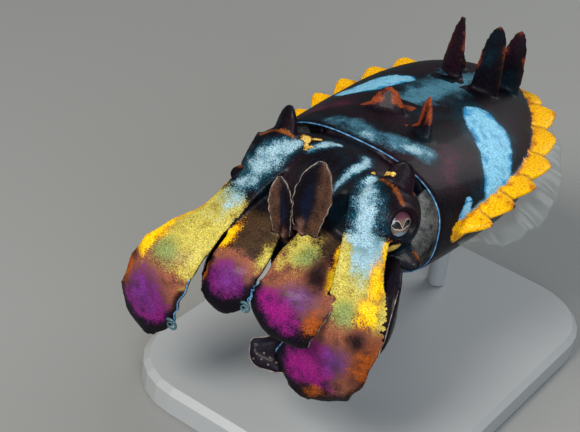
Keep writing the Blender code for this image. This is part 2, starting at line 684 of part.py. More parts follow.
# Stand: a rounded slab and two short rods
BASE_SIZE = (62.0, 84.0, 6.0)
BASE_CORNER = 14.0
BASE_CHAMFER = 1.2
BASE_FOOT = 0.6
ROD_RADIUS = 2.0
ROD_TOP = -8.0
ROD_PLACES = {"stand_rod_front": -16.0, "stand_rod_rear": 13.0}


def slab_ring(inset, z):
    """The outline of the base, a rectangle with round corners, in the animal's frame."""
    half_x, half_y = BASE_SIZE[0] / 2 - inset, BASE_SIZE[1] / 2 - inset
    corner = BASE_CORNER - inset
    ring = []
    for quarter, (sx, sy) in enumerate(((1, 1), (-1, 1), (-1, -1), (1, -1))):
        for k in range(7):
            angle = math.pi / 2 * (quarter + k / 6)
            ring.append((sx * (half_x - corner) + corner * math.cos(angle) - BODY_CENTRE.x,
                         sy * (half_y - corner) + corner * math.sin(angle) - BODY_CENTRE.y,
                         z - BODY_CENTRE.z))
    return ring


def make_base():
    height = BASE_SIZE[2]
    return loft("stand_base", [slab_ring(BASE_FOOT, 0.0), slab_ring(0.0, BASE_FOOT),
                               slab_ring(0.0, height - BASE_CHAMFER), slab_ring(BASE_CHAMFER, height)])


def make_rod(name, y):
    bottom = BASE_SIZE[2] + GAP - BODY_CENTRE.z
    rings = [[(ROD_RADIUS * math.cos(a), y + ROD_RADIUS * math.sin(a), z)
              for a in (2 * math.pi * k / 20 for k in range(20))] for z in (bottom, ROD_TOP)]
    return combine(loft(name, rings), [mantle_body(GAP)], "DIFFERENCE")


# Colour, roughness and metallic value of each material
FINISHES = {"mantle_skin": ((0.055, 0.030, 0.045), 0.45, 0.0), "head_skin": ((0.20, 0.15, 0.12), 0.45, 0.0),
            "arm_skin": ((0.42, 0.20, 0.16), 0.45, 0.0), "eye": ((0.30, 0.26, 0.16), 0.15, 0.0),
            "fin_membrane": ((0.42, 0.45, 0.45), 0.35, 0.0), "stand": ((0.35, 0.37, 0.37), 0.3, 0.0)}
SHARP_ANGLE = 50.0


def finish_named(name):
    colour, roughness, metallic = FINISHES[name]
    material = bpy.data.materials.get(name) or bpy.data.materials.new(name)
    material.use_nodes = True
    shader = material.node_tree.nodes["Principled BSDF"]
    shader.inputs["Base Color"].default_value = (*colour, 1.0)
    shader.inputs["Roughness"].default_value = roughness
    shader.inputs["Metallic"].default_value = metallic
    return material


def place(piece, finish):
    """Moves a finished piece onto the stand, turns it into metres and gives it its material."""
    piece.data.transform(Matrix.Scale(MM, 4) @ Matrix.Translation(BODY_CENTRE))
    piece.data.materials.clear()
    piece.data.materials.append(finish_named(finish))
    piece.data.shade_smooth()
    piece.data.set_sharp_from_angle(angle=math.radians(SHARP_ANGLE))
    return piece


# Each arm and the neighbours that it is cut clear of
NEIGHBOURS = {"arm_1_right": [], "arm_1_left": ["arm_1_right"],
              "arm_2_right": ["arm_1_right", "arm_1_left"], "arm_2_left": ["arm_1_right", "arm_1_left", "arm_2_right"],
              "arm_3_right": ["arm_2_right", "arm_1_right"], "arm_3_left": ["arm_2_left", "arm_1_left"],
              "arm_4_right": ["arm_3_right", "arm_2_right"],
              "arm_4_left": ["arm_3_left", "arm_2_left", "arm_4_right"]}


def main():
    for leftover in list(bpy.data.objects):
        bpy.data.objects.remove(leftover)
    place(make_mantle(), "mantle_skin")
    place(make_head(), "head_skin")
    for name, side in (("eye_left", 1), ("eye_right", -1)):
        place(make_eye(name, side), "eye")
    for arm, neighbours in NEIGHBOURS.items():
        for piece in make_arm(arm, neighbours):
            place(piece, "arm_skin")
    for name, side in (("fin_left", 1), ("fin_right", -1)):
        place(make_fin(name, side), "fin_membrane")
    place(make_funnel(), "head_skin")
    place(make_mouth(), "head_skin")
    place(make_base(), "stand")
    for name, y in ROD_PLACES.items():
        place(make_rod(name, y), "stand")


main()
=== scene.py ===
# %% [markdown]
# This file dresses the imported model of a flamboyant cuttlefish. The real animal is about 6 cm long in the
# body. It swims level, with its arms hanging in front like broad petals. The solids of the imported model
# give the shape, the places and the stand. What is made here is the living surface: one moist skin without
# seams, the eyes, the clear fins, the suckers and the curled tips of the arms.

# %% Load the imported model
import math

import bpy
import numpy as np
from mathutils import Matrix, Vector
from mathutils.bvhtree import BVHTree


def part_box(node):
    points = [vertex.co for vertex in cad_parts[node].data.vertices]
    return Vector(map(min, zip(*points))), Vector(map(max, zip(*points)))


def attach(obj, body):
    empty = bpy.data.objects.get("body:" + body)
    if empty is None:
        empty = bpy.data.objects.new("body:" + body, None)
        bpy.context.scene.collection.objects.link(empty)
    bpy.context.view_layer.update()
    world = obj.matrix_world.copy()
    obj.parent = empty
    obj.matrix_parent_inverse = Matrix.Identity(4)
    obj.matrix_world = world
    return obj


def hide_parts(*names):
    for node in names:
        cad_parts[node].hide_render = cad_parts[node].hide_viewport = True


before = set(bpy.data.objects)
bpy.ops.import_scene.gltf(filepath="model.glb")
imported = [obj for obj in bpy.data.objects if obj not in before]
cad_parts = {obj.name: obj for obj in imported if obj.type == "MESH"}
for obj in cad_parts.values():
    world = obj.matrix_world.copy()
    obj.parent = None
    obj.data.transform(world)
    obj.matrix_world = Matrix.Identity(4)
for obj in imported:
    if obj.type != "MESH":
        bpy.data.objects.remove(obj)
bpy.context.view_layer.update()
print("packed nodes:", len(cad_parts))

# %% [markdown]
# All sizes below are in millimetres and in the animal's own frame: it faces -Y, its left side is +X, and
# the origin is the middle of the mantle. One function moves points from there into the frame of the packed
# model, which is in metres and stands on the floor. The middle of the mantle is measured from the packed
# eyes, which are known to lie 38.6 mm in front of it and 5 mm above it.

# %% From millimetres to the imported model
MM = 0.001
EYE_CENTRE = Vector((12.3, -38.6, 5.0))


def middle_of(node):
    low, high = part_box(node)
    return (low + high) / 2


eyes_middle = (middle_of("eye_left") + middle_of("eye_right")) / 2
BODY_CENTRE = np.array([0.0, round(eyes_middle.y / MM, 1) - EYE_CENTRE.y,
                        round(eyes_middle.z / MM, 1) - EYE_CENTRE.z])
print("middle of the mantle, mm:", BODY_CENTRE)


def to_metres(points):
    return (np.asarray(points, float).reshape(-1, 3) + BODY_CENTRE) * MM


def to_millimetres(points):
    return np.asarray(points, float).reshape(-1, 3) / MM - BODY_CENTRE


# %% [markdown]
# Most of the body is lofted: rings of points are set one behind the other and joined by faces. A smooth
# curve runs through a short table of sizes, so a shape needs only a handful of numbers. The curve is a
# Catmull-Rom spline, which passes through every row of its table.

# %% Curves and lofts
def spline(rows, t):
    rows = np.asarray(rows, float)
    u = min(max(t, 0.0), 1.0) * (len(rows) - 1)
    i = min(int(u), len(rows) - 2)
    f = u - i
    before = rows[i - 1] if i > 0 else 2 * rows[i] - rows[i + 1]
    after = rows[i + 2] if i + 2 < len(rows) else 2 * rows[i + 1] - rows[i]
    a, b = rows[i], rows[i + 1]
    square = 2 * before - 5 * a + 4 * b - after
    cubic = 3 * (a - b) + after - before
    return a + 0.5 * f * (b - before + f * (square + f * cubic))


def along(stations, first):
    """The row of a table at one value of its first column."""
    rising = stations[-1][0] > stations[0][0]
    low, high = 0.0, 1.0
    for _ in range(32):
        middle = 0.5 * (low + high)
        if (spline(stations, middle)[0] < first) == rising:
            low = middle
        else:
            high = middle
    return spline(stations, low)


def side_of(point, side):
    return Vector((point[0] * side, point[1], point[2]))


def loft(rings, closed=False):
    """Points and faces of one closed skin through rings of points."""
    count = len(rings[0])
    points = [tuple(p) for ring in rings for p in ring]
    faces = []
    for i in range(len(rings) - (0 if closed else 1)):
        a, b = i * count, ((i + 1) % len(rings)) * count
        faces += [(a + k, a + (k + 1) % count, b + (k + 1) % count, b + k) for k in range(count)]
    if not closed:
        last = (len(rings) - 1) * count
        faces += [tuple(reversed(range(count))), tuple(range(last, last + count))]
    volume = 0.0
    for face in faces:
        a = Vector(points[face[0]])
        for b, c in zip(face[1:], face[2:]):
            volume += a.dot(Vector(points[b]).cross(Vector(points[c])))
    if volume < 0:
        faces = [tuple(reversed(face)) for face in faces]
    return points, faces


def new_object(name, points, faces):
    """A new object in the scene, from points in its own units."""
    mesh = bpy.data.meshes.new(name)
    mesh.from_pydata([tuple(p) for p in points], [], faces)
    made = bpy.data.objects.new(name, mesh)
    bpy.context.scene.collection.objects.link(made)
    return made


def add_piece(name, points, faces, smooth=True):
    """A new object from points in millimetres."""
    piece = new_object(name, to_metres(points), faces)
    if smooth:
        piece.data.shade_smooth()
    return piece


def join_lofts(lofts):
    points, faces = [], []
    for more_points, more_faces in lofts:
        start = len(points)
        points += more_points
        faces += [tuple(start + i for i in face) for face in more_faces]
    return points, faces


print("a point halfway along a straight table:", spline([(0, 0), (2, 4)], 0.5))

# %% [markdown]
# The mantle is the bag of the body. It is a slightly squared oval all the way along, blunt in front and
# rounded behind. Its front rim is free and thin like a collar: behind the rim the inside wall runs back,
# then comes forward again as the neck. A broad fleshy strip with pointed lobes runs along each side, over
# the fin.

# %% Mantle: the table of sizes
MANTLE = [(-30, 18.4, 11.4, 12.4, 2.6), (-22, 19.7, 11.3, 13.3, 2.25), (-10, 21.0, 10.4, 13.3, 2.0),
          (1, 20.3, 9.6, 12.4, 1.95), (11, 17.7, 8.0, 10.6, 1.95), (19, 13.9, 6.2, 8.0, 2.0),
          (25.4, 8.6, 3.9, 4.8, 2.0), (27.6, 1.2, 0.8, 0.8, 2.0)]
TAIL_END = 27.6
TAIL_TURN = -4.0
TURN_FROM = -10.0
RIM = -30.0
RIM_WALL = 0.9
RIM_FLARE = 0.42
RIM_ROUND = 0.5
COLLAR_FLOOR = -27.0
NECK = (12.4, 9.2, 5.2)
NECK_FRONT = -33.0
HEAD_SQUARENESS = 2.7
AROUND = 96


def squared_ring(y, half_width, top, bottom, squareness, count=AROUND):
    """A ring across the body: a rounded, slightly squared oval."""
    ring = []
    for k in range(count):
        angle = 2 * math.pi * k / count
        c, s = math.cos(angle), math.sin(angle)
        ring.append((half_width * math.copysign(abs(c) ** (2.0 / squareness), c), y,
                     (top if s > 0 else bottom) * abs(s) ** (2.0 / squareness)))
    return ring


def turn_at(y):
    """How far left the middle line of the mantle lies at y: the tail is turned a little to the right."""
    share = min(1.0, max(0.0, (y - TURN_FROM) / (TAIL_END - TURN_FROM)))
    return TAIL_TURN * share * share * (3 - 2 * share)


def on_side(point, side):
    """A point of the mantle's left half, on the left (1) or on the right (-1) of its turned middle line."""
    return Vector((point[0] * side + turn_at(point[1]), point[1], point[2]))


def mantle_ring(y, grow=0.0, ahead=0.0):
    _, half_width, top, bottom, squareness = along(MANTLE, y)
    ring = squared_ring(y - ahead, half_width + grow, top + grow, -(bottom + grow), squareness)
    return [(x + turn_at(y), yy, z) for x, yy, z in ring]


def mantle_body():
    outside = [TAIL_END - (TAIL_END - RIM) * (1 - math.cos(0.5 * math.pi * (i / 40))) for i in range(41)]
    outside = [max(y, RIM) for y in outside]
    rings = [mantle_ring(y) for y in outside]
    rings.append(mantle_ring(RIM, -0.15, 0.35))
    rings.append(mantle_ring(RIM, -RIM_WALL / 2, RIM_ROUND))
    rings.append(mantle_ring(RIM, -RIM_WALL + 0.1, 0.3))
    for y in (RIM, -29.5, -29, -28.5, -28, -27.5, COLLAR_FLOOR):
        rings.append(mantle_ring(y, -(RIM_WALL + RIM_FLARE * (y - RIM) ** 0.8)))
    for y, flare in ((COLLAR_FLOOR, 0.0), (-28, 0.1), (-29.5, 0.4), (-31.2, 1.3), (NECK_FRONT, 1.5)):
        wide, high, low = NECK[0] + 0.8 * flare, NECK[1] + flare, -NECK[2] - 0.8 * flare
        rings.append(squared_ring(y, wide, high, low, HEAD_SQUARENESS))
    return loft(rings)


print("mantle, mm long:", round(TAIL_END - RIM, 1), "and wide:", 2 * max(row[1] for row in MANTLE))


# %% [markdown]
# The flaps on the back and over the eyes are thin folds of skin that the animal raises at will. Each is
# lofted from its root to a blunt tip, with flat oval rings that get narrower and thinner.

# %% Skin flaps
def flap(root, tip, size, facing, blunt=0.6, curl=0.0, sides=24, steps=14):
    """A flat, blunt skin flap. size is (width, thickness) at the root; curl bends the tip back."""
    root, tip, facing = Vector(root), Vector(tip), Vector(facing)
    axis = (tip - root).normalized()
    flat = (facing - axis * facing.dot(axis)).normalized()
    wide = axis.cross(flat)
    rings = []
    for i in range(steps + 1):
        t = math.sin(0.5 * math.pi * i / steps)
        taper = (1 - (1 - blunt) * t) * math.sqrt(max(0.02, 1 - t ** 5))
        centre = root.lerp(tip, t) - flat * curl * t * t
        rings.append([centre + wide * size[0] / 2 * taper * math.cos(angle)
                      + flat * size[1] / 2 * max(taper * (1 - 0.45 * t), 0.3) * math.sin(angle)
                      for angle in (2 * math.pi * k / sides for k in range(sides))])
    return loft(rings)


BACK_FLAPS = [((6.2, -19.4), (4.2, -17.0, 17.0), (5.6, 2.2, 0.6), (-0.5, -0.86, 0)),
              ((-2.8, -18.2), (-4.4, -15.6, 14.8), (9.2, 2.4, 0.5), (0.3, -0.95, 0)),
              ((2.8, 8.6), (4.5, 6.0, 23.0), (5.8, 2.6, 0.8), (0.5, -0.85, 0)),
              ((-5.0, 9.4), (-4.7, 8.2, 21.0), (6.4, 2.6, 0.5), (-0.3, -0.95, 0)),
              ((3.8, 16.4), (4.5, 15.8, 18.8), (5.4, 2.4, 0.85), (0.3, -0.95, 0)),
              ((-6.8, 14.8), (-6.4, 15.2, 10.0), (5.0, 2.4, 0.6), (-0.3, -0.95, 0))]
FLAP_SUNK = 2.2


def back_height(x, y):
    _, half_width, top, _, squareness = along(MANTLE, y)
    return top * (1 - min(1.0, abs(x - turn_at(y)) / half_width) ** squareness) ** (1 / squareness)


def back_flap(place, tip, size, facing):
    x, y = place
    root = (x, y, back_height(x, y) - FLAP_SUNK)
    return flap(root, tip, size, facing, blunt=size[2], curl=0.5)


print("flaps on the back:", len(BACK_FLAPS))

# %% [markdown]
# A fleshy ridge runs along each side, just over the fin. Creases cut it into lobes, and each lobe rises to
# a point behind its middle. The strip is lofted from front to back, and its reach outwards follows the
# lobes. A fixed seed makes the lobes differ a little in size, as they do in life.

# %% Lobed ridge over each fin
RIDGE_CREASES = (-24.6, -19.5, -12.8, -5.5, 3.4, 12.6, 20.0, 25.4)
RIDGE_HEIGHT = {1: (-1.2, 2.2), -1: (-0.8, 0.6)}
RIDGE_REACH = {1: (1.9, 4.3), -1: (0.5, 3.2)}
RIDGE_THICK = 3.8
RIDGE_SUNK = 2.4
RIDGE_STEPS = 26
RIDGE_SEED = 4
LOBE_PEAK = 0.62


def margin_point(y, height=0.0):
    """A point on the left side of the mantle at a height, and the way out from it, level."""
    _, half_width, top, bottom, squareness = along(MANTLE, y)
    share = min(0.95, abs(height) / max(top if height > 0 else bottom, 0.1))
    x = half_width * (1 - share ** squareness) ** (1 / squareness)
    slope = along(MANTLE, min(y + 0.5, TAIL_END))[1] - along(MANTLE, y - 0.5)[1]
    return Vector((x, y, height)), Vector((1.0, -slope, 0.0)).normalized()


def ridge_height(t, side):
    front, rear = RIDGE_HEIGHT[side]
    return front + (rear - front) * math.sin(0.5 * math.pi * min(1.0, 2.2 * t))


def ridge(side):
    """The strip of pointed lobes over one fin, thick at its root and creased between the lobes."""
    lobes = len(RIDGE_CREASES) - 1
    tall = np.random.default_rng(RIDGE_SEED + side).uniform(0.85, 1.1, lobes)
    rings = []
    for i in range(RIDGE_STEPS * lobes + 1):
        t = i / (RIDGE_STEPS * lobes)
        lobe = min(i // RIDGE_STEPS, lobes - 1)
        phase = i / RIDGE_STEPS - lobe
        y = RIDGE_CREASES[lobe] + (RIDGE_CREASES[lobe + 1] - RIDGE_CREASES[lobe]) * phase
        root, out = margin_point(y, ridge_height(t, side))
        ends = min(1.0, 9 * t + 0.25, 6 * (1 - t) + 0.1)
        flank = LOBE_PEAK if phase < LOBE_PEAK else 1 - LOBE_PEAK
        point = (1 - abs((phase - LOBE_PEAK) / flank) ** 1.5) * tall[lobe]
        crease = math.exp(-((min(phase, 1 - phase)) / 0.07) ** 2)
        least, most = RIDGE_REACH[side]
        reach = (least + (most - least) * point) * ends
        thick = RIDGE_THICK / 2 * (0.55 + 0.45 * ends) * (1 - 0.3 * crease)
        ring = []
        for k in range(16):
            angle = 2 * math.pi * k / 16
            outward = 0.5 + 0.5 * math.cos(angle)
            tip = 0.34 + 0.66 * (1 - outward) ** 0.8
            ring.append(root + out * (-RIDGE_SUNK + (reach + RIDGE_SUNK) * outward)
                        + Vector((0, 0, 0.45 * reach * outward ** 2 + thick * tip * math.sin(angle))))
        rings.append([on_side(p, side) for p in ring])
    return loft(rings)


mantle_forms = [mantle_body(), ridge(1), ridge(-1)] + [back_flap(*row) for row in BACK_FLAPS]
print("mantle forms:", len(mantle_forms), "points:", sum(len(points) for points, _ in mantle_forms))

# %% [markdown]
# The head is a broad low dome between two bulges that hold the eyes. Over each eye stands a skin flap, and
# under it a smaller one sticks out sideways. A raised ring of skin is the lid.

# %% Head
HEAD = [(-31.5, 12.8, 10.4, -5.8), (-33.3, 13.6, 11.0, -6.4), (-36, 14.8, 11.4, -7.6),
        (-39.5, 15.0, 10.6, -8.4), (-42.5, 13.8, 8.4, -8.6), (-45, 11.2, 4.4, -8.2),
        (-47, 7.8, 0.0, -7.2), (-48.3, 3.0, -3.0, -5.2)]
EYE_AXIS = Vector((0.88, -0.34, 0.28)).normalized()
EYE_RADIUS = 4.0
EYE_BULGE = (5.3, 6.6)
EYE_BULGE_SUNK = 1.0
LID_OPENING = 2.4
LID_THICKNESS = 1.0
LID_SEAT = 3.9
EYE_FLAPS = [((11.4, -36.8, 8.0), (12.0, -35.4, 14.9), (6.4, 4.0), (0.4, -0.9, 0.1)),
             ((13.5, -38.2, 0.0), (20.0, -39.2, -0.8), (5.4, 3.4), (0.1, -0.7, 0.6))]


def head_dome():
    rings = []
    for i in range(40):
        y = HEAD[0][0] + (HEAD[-1][0] - HEAD[0][0]) * math.sin(0.5 * math.pi * i / 39)
        _, half_width, top, bottom = along(HEAD, y)
        middle = 0.5 * (top + bottom)
        ring = squared_ring(y, half_width, top - middle, bottom - middle, HEAD_SQUARENESS, 72)
        rings.append([(x, yy, z + middle) for x, yy, z in ring])
    return loft(rings)


def ball(centre, radii, axis=(0, 0, 1), columns=40, rows=24):
    """An ellipsoid. radii are (along the axis, across it)."""
    turn = Vector((0, 0, 1)).rotation_difference(Vector(axis)).to_matrix()
    rings = []
    for i in range(1, rows):
        angle = math.pi * i / rows
        rings.append([Vector(centre) + turn @ Vector((radii[1] * math.sin(angle) * math.cos(around),
                                                      radii[1] * math.sin(angle) * math.sin(around),
                                                      radii[0] * math.cos(angle)))
                      for around in (2 * math.pi * k / columns for k in range(columns))])
    return loft(rings)


def ring_tube(centre, axis, radius, thickness, count=56, sides=12):
    """A torus round an axis."""
    turn = Vector((0, 0, 1)).rotation_difference(Vector(axis)).to_matrix()
    rings = []
    for i in range(count):
        a = 2 * math.pi * i / count
        ring = []
        for k in range(sides):
            b = 2 * math.pi * k / sides
            reach = radius + thickness / 2 * math.cos(b)
            ring.append(Vector(centre) + turn @ Vector((reach * math.cos(a), reach * math.sin(a),
                                                        thickness / 2 * math.sin(b))))
        rings.append(ring)
    return loft(rings, closed=True)


def eye_forms(side):
    centre, axis = side_of(EYE_CENTRE, side), side_of(EYE_AXIS, side)
    forms = [ball(centre - axis * EYE_BULGE_SUNK, EYE_BULGE, axis),
             ring_tube(centre + axis * LID_SEAT, axis, LID_OPENING + LID_THICKNESS / 2, LID_THICKNESS)]
    for root, tip, size, facing in EYE_FLAPS:
        forms.append(flap(side_of(root, side), side_of(tip, side), size, side_of(facing, side), blunt=0.7))
    return forms


head_forms = [head_dome()] + eye_forms(1) + eye_forms(-1)
print("head forms:", len(head_forms))

# %% [markdown]
# Each arm is a muscle with a broad thin membrane beside it, rather like a petal. A table holds the middle
# line of its outer face with the half width, and a second one the way that face looks. Across the arm the
# outer face is bent round, and the muscle makes it thick near the edge that lies towards the middle of the
# animal. The edges are gently scalloped, as they are in life.

# %% Arms: the tables
ARMS = {
    "arm_1_right": {
        "line": [(-2.2, -44.0, -1.6, 1.5), (-1.8, -47.6, -0.4, 1.9), (-1.6, -48.9, 2.9, 2.4),
                 (-2.3, -49.2, 6.6, 2.9), (-3.5, -49.0, 10.4, 1.7)],
        "out": [(0, 0.35, 0.9), (-0.2, 0.8, 0.6), (-0.4, 0.9, 0.1), (-0.5, 0.85, 0)],
        "cup": 1.15, "core": 1.8},
    "arm_1_left": {
        "line": [(2.2, -43.6, -1.4, 1.6), (2.4, -46.6, 1.4, 2.3), (2.9, -48.0, 6.0, 3.4),
                 (3.4, -48.3, 10.8, 4.1), (3.8, -48.2, 16.4, 2.4)],
        "out": [(0, 0.35, 0.9), (-0.1, 0.8, 0.6), (-0.3, 0.9, 0.1), (-0.3, 0.92, 0)],
        "cup": 1.0, "core": 1.8},
    "arm_2_right": {
        "line": [(-5.6, -41.5, 5.2, 3.5), (-5.6, -48.0, 1.2, 4.0), (-5.2, -54.0, -2.7, 4.9),
                 (-5.1, -57.5, -5.4, 5.0), (-5.1, -59.0, -8.8, 5.0), (-4.8, -59.5, -11.4, 4.4),
                 (-4.6, -59.0, -13.6, 2.4)],
        "out": [(-0.1, -0.1, 1), (0.05, -0.75, 0.6), (0.1, -0.95, 0.25)], "cup": 0.5, "core": 3.0},
    "arm_2_left": {
        "line": [(5.8, -41.0, 6.0, 3.6), (5.6, -46.6, 2.4, 4.1), (6.1, -52.4, -1.0, 5.7),
                 (7.3, -57.0, -4.0, 6.8), (6.5, -59.1, -7.8, 7.0), (5.3, -59.3, -10.8, 6.5),
                 (4.6, -58.8, -12.8, 3.8)],
        "out": [(0.1, -0.1, 1), (0.15, -0.8, 0.6), (0.12, -0.95, 0.25)], "cup": 0.5, "core": 3.0},
    "arm_3_right": {
        "line": [(-10.0, -40.5, 7.6, 4.4), (-12.4, -46.0, 3.2, 4.1), (-13.9, -51.2, -1.2, 3.9),
                 (-15.6, -56.5, -4.2, 5.3), (-17.0, -60.8, -8.0, 6.5), (-18.4, -62.5, -14.6, 6.5),
                 (-18.5, -62.0, -20.4, 5.5), (-18.2, -61.0, -24.6, 2.6)],
        "out": [(-0.3, -0.1, 0.95), (0.0, -0.7, 0.7), (0.05, -0.95, 0.2)], "cup": 0.45, "core": 3.4},
    "arm_3_left": {
        "line": [(10.0, -40.5, 8.2, 4.2), (12.6, -45.2, 5.2, 4.1), (15.2, -50.0, 0.6, 4.3),
                 (16.9, -52.8, -4.4, 5.4), (16.0, -54.6, -11.8, 6.9), (11.7, -54.7, -20.3, 7.9),
                 (9.6, -54.0, -25.8, 4.4)],
        "out": [(0.4, -0.1, 0.9), (0.4, -0.65, 0.6), (0.2, -0.95, 0.1)], "cup": 0.45, "core": 3.4},
    "arm_4_right": {
        "line": [(-8.4, -41.5, -6.2, 3.8), (-11.0, -46.0, -8.8, 4.0), (-12.4, -49.4, -12.0, 4.0),
                 (-11.6, -51.2, -15.6, 3.6), (-9.8, -52.2, -18.4, 0.9)],
        "out": [(-0.5, 0.3, -0.8), (-0.8, 0.4, -0.4), (-0.8, 0.4, -0.3)], "cup": 0.5, "core": 3.0},
    "arm_4_left": {
        "line": [(8.4, -41.0, -6.0, 3.8), (16.4, -42.4, -4.0, 4.0), (21.0, -45.8, -5.4, 4.4),
                 (20.4, -46.8, -12.0, 4.4), (13.8, -48.0, -18.2, 3.8), (6.4, -50.4, -21.0, 4.0),
                 (1.6, -52.8, -21.2, 3.6), (-1.2, -53.6, -20.0, 1.6)],
        "out": [(0.4, 0.4, -0.8), (0.9, 0.45, -0.1), (0.5, 0.7, -0.5), (-0.1, 0.85, -0.5)], "cup": 0.5,
        "core": 3.0},
}
EDGE = 0.75
CORE_AT = 0.55
CORE_SHIFT = 0.45
TIP_ROUND = 0.10
SCALLOPS = 9
SCALLOP_DEPTH = 0.035
# Rings along an arm and points across it, in the fine lofts that the skin is made of
ARM_RINGS = 64
ARM_ACROSS = 21


def arm_side(arm):
    return 1 if arm.endswith("left") else -1


def arm_frame(arm, t):
    """The middle point, half width, way along, outer normal and width direction of an arm at t."""
    line = ARMS[arm]["line"]
    row = spline(line, t)
    ahead = Vector((spline(line, min(t + 0.02, 1.0)) - spline(line, max(t - 0.02, 0.0)))[:3]).normalized()
    normal = Vector(spline(ARMS[arm]["out"], t))
    normal = (normal - ahead * normal.dot(ahead)).normalized()
    half = float(row[3])
    if t > 1 - TIP_ROUND:
        half *= math.sqrt(max(0.3, 1 - ((t - 1 + TIP_ROUND) / TIP_ROUND) ** 2))
    return Vector(row[:3]), half, ahead, normal, ahead.cross(normal)


def arm_surface(arm, t, s, grow=0.0):
    """The points of the outer and the inner face at t along the arm and s, from -1 to 1, across it."""
    facts = ARMS[arm]
    centre, half, _, normal, across = arm_frame(arm, t)
    half *= 1 + SCALLOP_DEPTH * min(1.0, max(0.0, 3 * t - 1)) * math.sin(2 * math.pi * SCALLOPS * t + 2 * s)
    bend = facts["cup"] * min(1.0, 0.4 + t)
    x = half * math.sin(s * bend) / bend
    z = -half * (1 - math.cos(s * bend)) / bend
    core = facts["core"] * (1.25 - 0.75 * t) * min(1.0, half / 2.5)
    core_at = arm_side(arm) * CORE_AT * min(1.0, t / CORE_SHIFT)
    spread = 1.1 - 0.45 * min(1.0, t / CORE_SHIFT)
    bump = math.exp(-((s - core_at) / spread) ** 2) * max(0.0, 1 - s * s) ** 0.35
    thick = EDGE + max(0.0, core - EDGE) * bump
    lean = normal * math.cos(s * bend) + across * math.sin(s * bend)
    outer = centre + across * x + normal * z
    return outer + lean * grow + across * grow * s, outer - lean * (thick + grow) + across * grow * s


def arm_loft(arm, first=0.0, grow=0.0):
    """The closed loft of an arm, and for each of its points where it is: along, across and on which face."""
    steps = [math.sin(0.5 * math.pi * (-1 + 2 * i / (ARM_ACROSS - 1))) for i in range(ARM_ACROSS)]
    rings, places = [], []
    for i in range(ARM_RINGS + 1):
        t = first + (1 - first) * math.sin(0.5 * math.pi * i / ARM_RINGS)
        pairs = [arm_surface(arm, t, s, grow) for s in steps]
        rings.append([p[0] for p in pairs] + [p[1] for p in reversed(pairs)])
        places += [(t, s * arm_side(arm), 0.0) for s in steps]
        places += [(t, s * arm_side(arm), 1.0) for s in reversed(steps)]
    return loft(rings), np.array(places)


print("arms in the tables:", len(ARMS))


# %% [markdown]
# Arms that lie over one another must not melt together in the skin. So each arm is cut clear of the ones
# that lie over it, with a slit a little wider than the skin's voxels. Near the head the slit stops, and
# there the arms run together as they do in life.

# %% Cut the arms clear of one another
SLIT = 0.5
SLIT_FROM = 0.22
OVERLAPS = {"arm_1_right": [], "arm_1_left": ["arm_1_right"],
            "arm_2_right": ["arm_1_right", "arm_1_left"],
            "arm_2_left": ["arm_1_right", "arm_1_left", "arm_2_right"],
            "arm_3_right": ["arm_2_right", "arm_1_right"], "arm_3_left": ["arm_2_left", "arm_1_left"],
            "arm_4_right": ["arm_3_right", "arm_2_right"],
            "arm_4_left": ["arm_3_left", "arm_2_left", "arm_4_right"]}


def evaluated(piece):
    """The mesh of a piece with its modifiers applied, as plain data."""
    graph = bpy.context.evaluated_depsgraph_get()
    mesh = bpy.data.meshes.new_from_object(piece.evaluated_get(graph))
    piece.modifiers.clear()
    old, piece.data = piece.data, mesh
    bpy.data.meshes.remove(old)
    return piece


def subtract(piece, cutters):
    group = bpy.data.collections.new("cutters")
    for cutter in cutters:
        group.objects.link(cutter)
    cut = piece.modifiers.new("cut", "BOOLEAN")
    cut.operation, cut.solver = "DIFFERENCE", "MANIFOLD"
    cut.operand_type, cut.collection = "COLLECTION", group
    evaluated(piece)
    for cutter in cutters:
        bpy.data.objects.remove(cutter)
    bpy.data.collections.remove(group)
    return piece


arm_pieces, arm_lofts, arm_places = [], {}, {}
for arm, over in OVERLAPS.items():
    arm_lofts[arm], arm_places[arm] = arm_loft(arm)
    piece = add_piece(arm, *arm_lofts[arm])
    if over:
        subtract(piece, [add_piece("slit", *arm_loft(other, SLIT_FROM, SLIT)[0]) for other in over])
    arm_pieces.append(piece)
print("arms:", len(arm_pieces), "faces:", [len(p.data.polygons) for p in arm_pieces])

# %% [markdown]
# The funnel is the nozzle under the head that the animal swims with. The mouth is a round of soft lips in
# the middle of the arms.

# %% Funnel and mouth
FUNNEL = [(-22.4, 7.0, 1.9, -8.2), (-29.0, 6.0, 2.1, -8.9), (-36.0, 4.2, 2.2, -10.8),
          (-41.0, 3.2, 2.3, -12.0), (-44.0, 2.8, 2.3, -12.6)]
FUNNEL_WALL = 0.8
MOUTH_CENTRE = Vector((0.0, -47.8, -6.0))
MOUTH_AXIS = Vector((0.0, -0.9, -0.45)).normalized()
MOUTH_RADII = (2.6, 3.2)


def funnel_form():
    def ring(station, grow):
        y, half_width, half_height, z = station
        return [((half_width + grow) * math.cos(a), y, z + (half_height + grow) * math.sin(a))
                for a in (2 * math.pi * k / 40 for k in range(40))]
    stations = [spline(FUNNEL, i / 20) for i in range(21)]
    return loft([ring(s, 0.0) for s in stations] + [ring(s, -FUNNEL_WALL) for s in stations[:9:-1]])


def mouth_form():
    """Lips as two soft rings round the closed mouth."""
    return [ball(MOUTH_CENTRE, MOUTH_RADII, MOUTH_AXIS),
            ring_tube(MOUTH_CENTRE + MOUTH_AXIS * 2.1, MOUTH_AXIS, 1.5, 1.0)]


head_forms += [funnel_form()] + mouth_form()
print("head forms with the funnel and the mouth:", len(head_forms))

# %% [markdown]
# Now one skin is drawn over everything. A voxel remesh turns the crossing forms into one closed surface,
# and a little smoothing rounds the places where they meet. The mantle is broad and plain, so it takes
# larger voxels than the head and the arms, whose edges are thin. The two parts of the skin lie inside one
# another at the neck, deep in the collar.

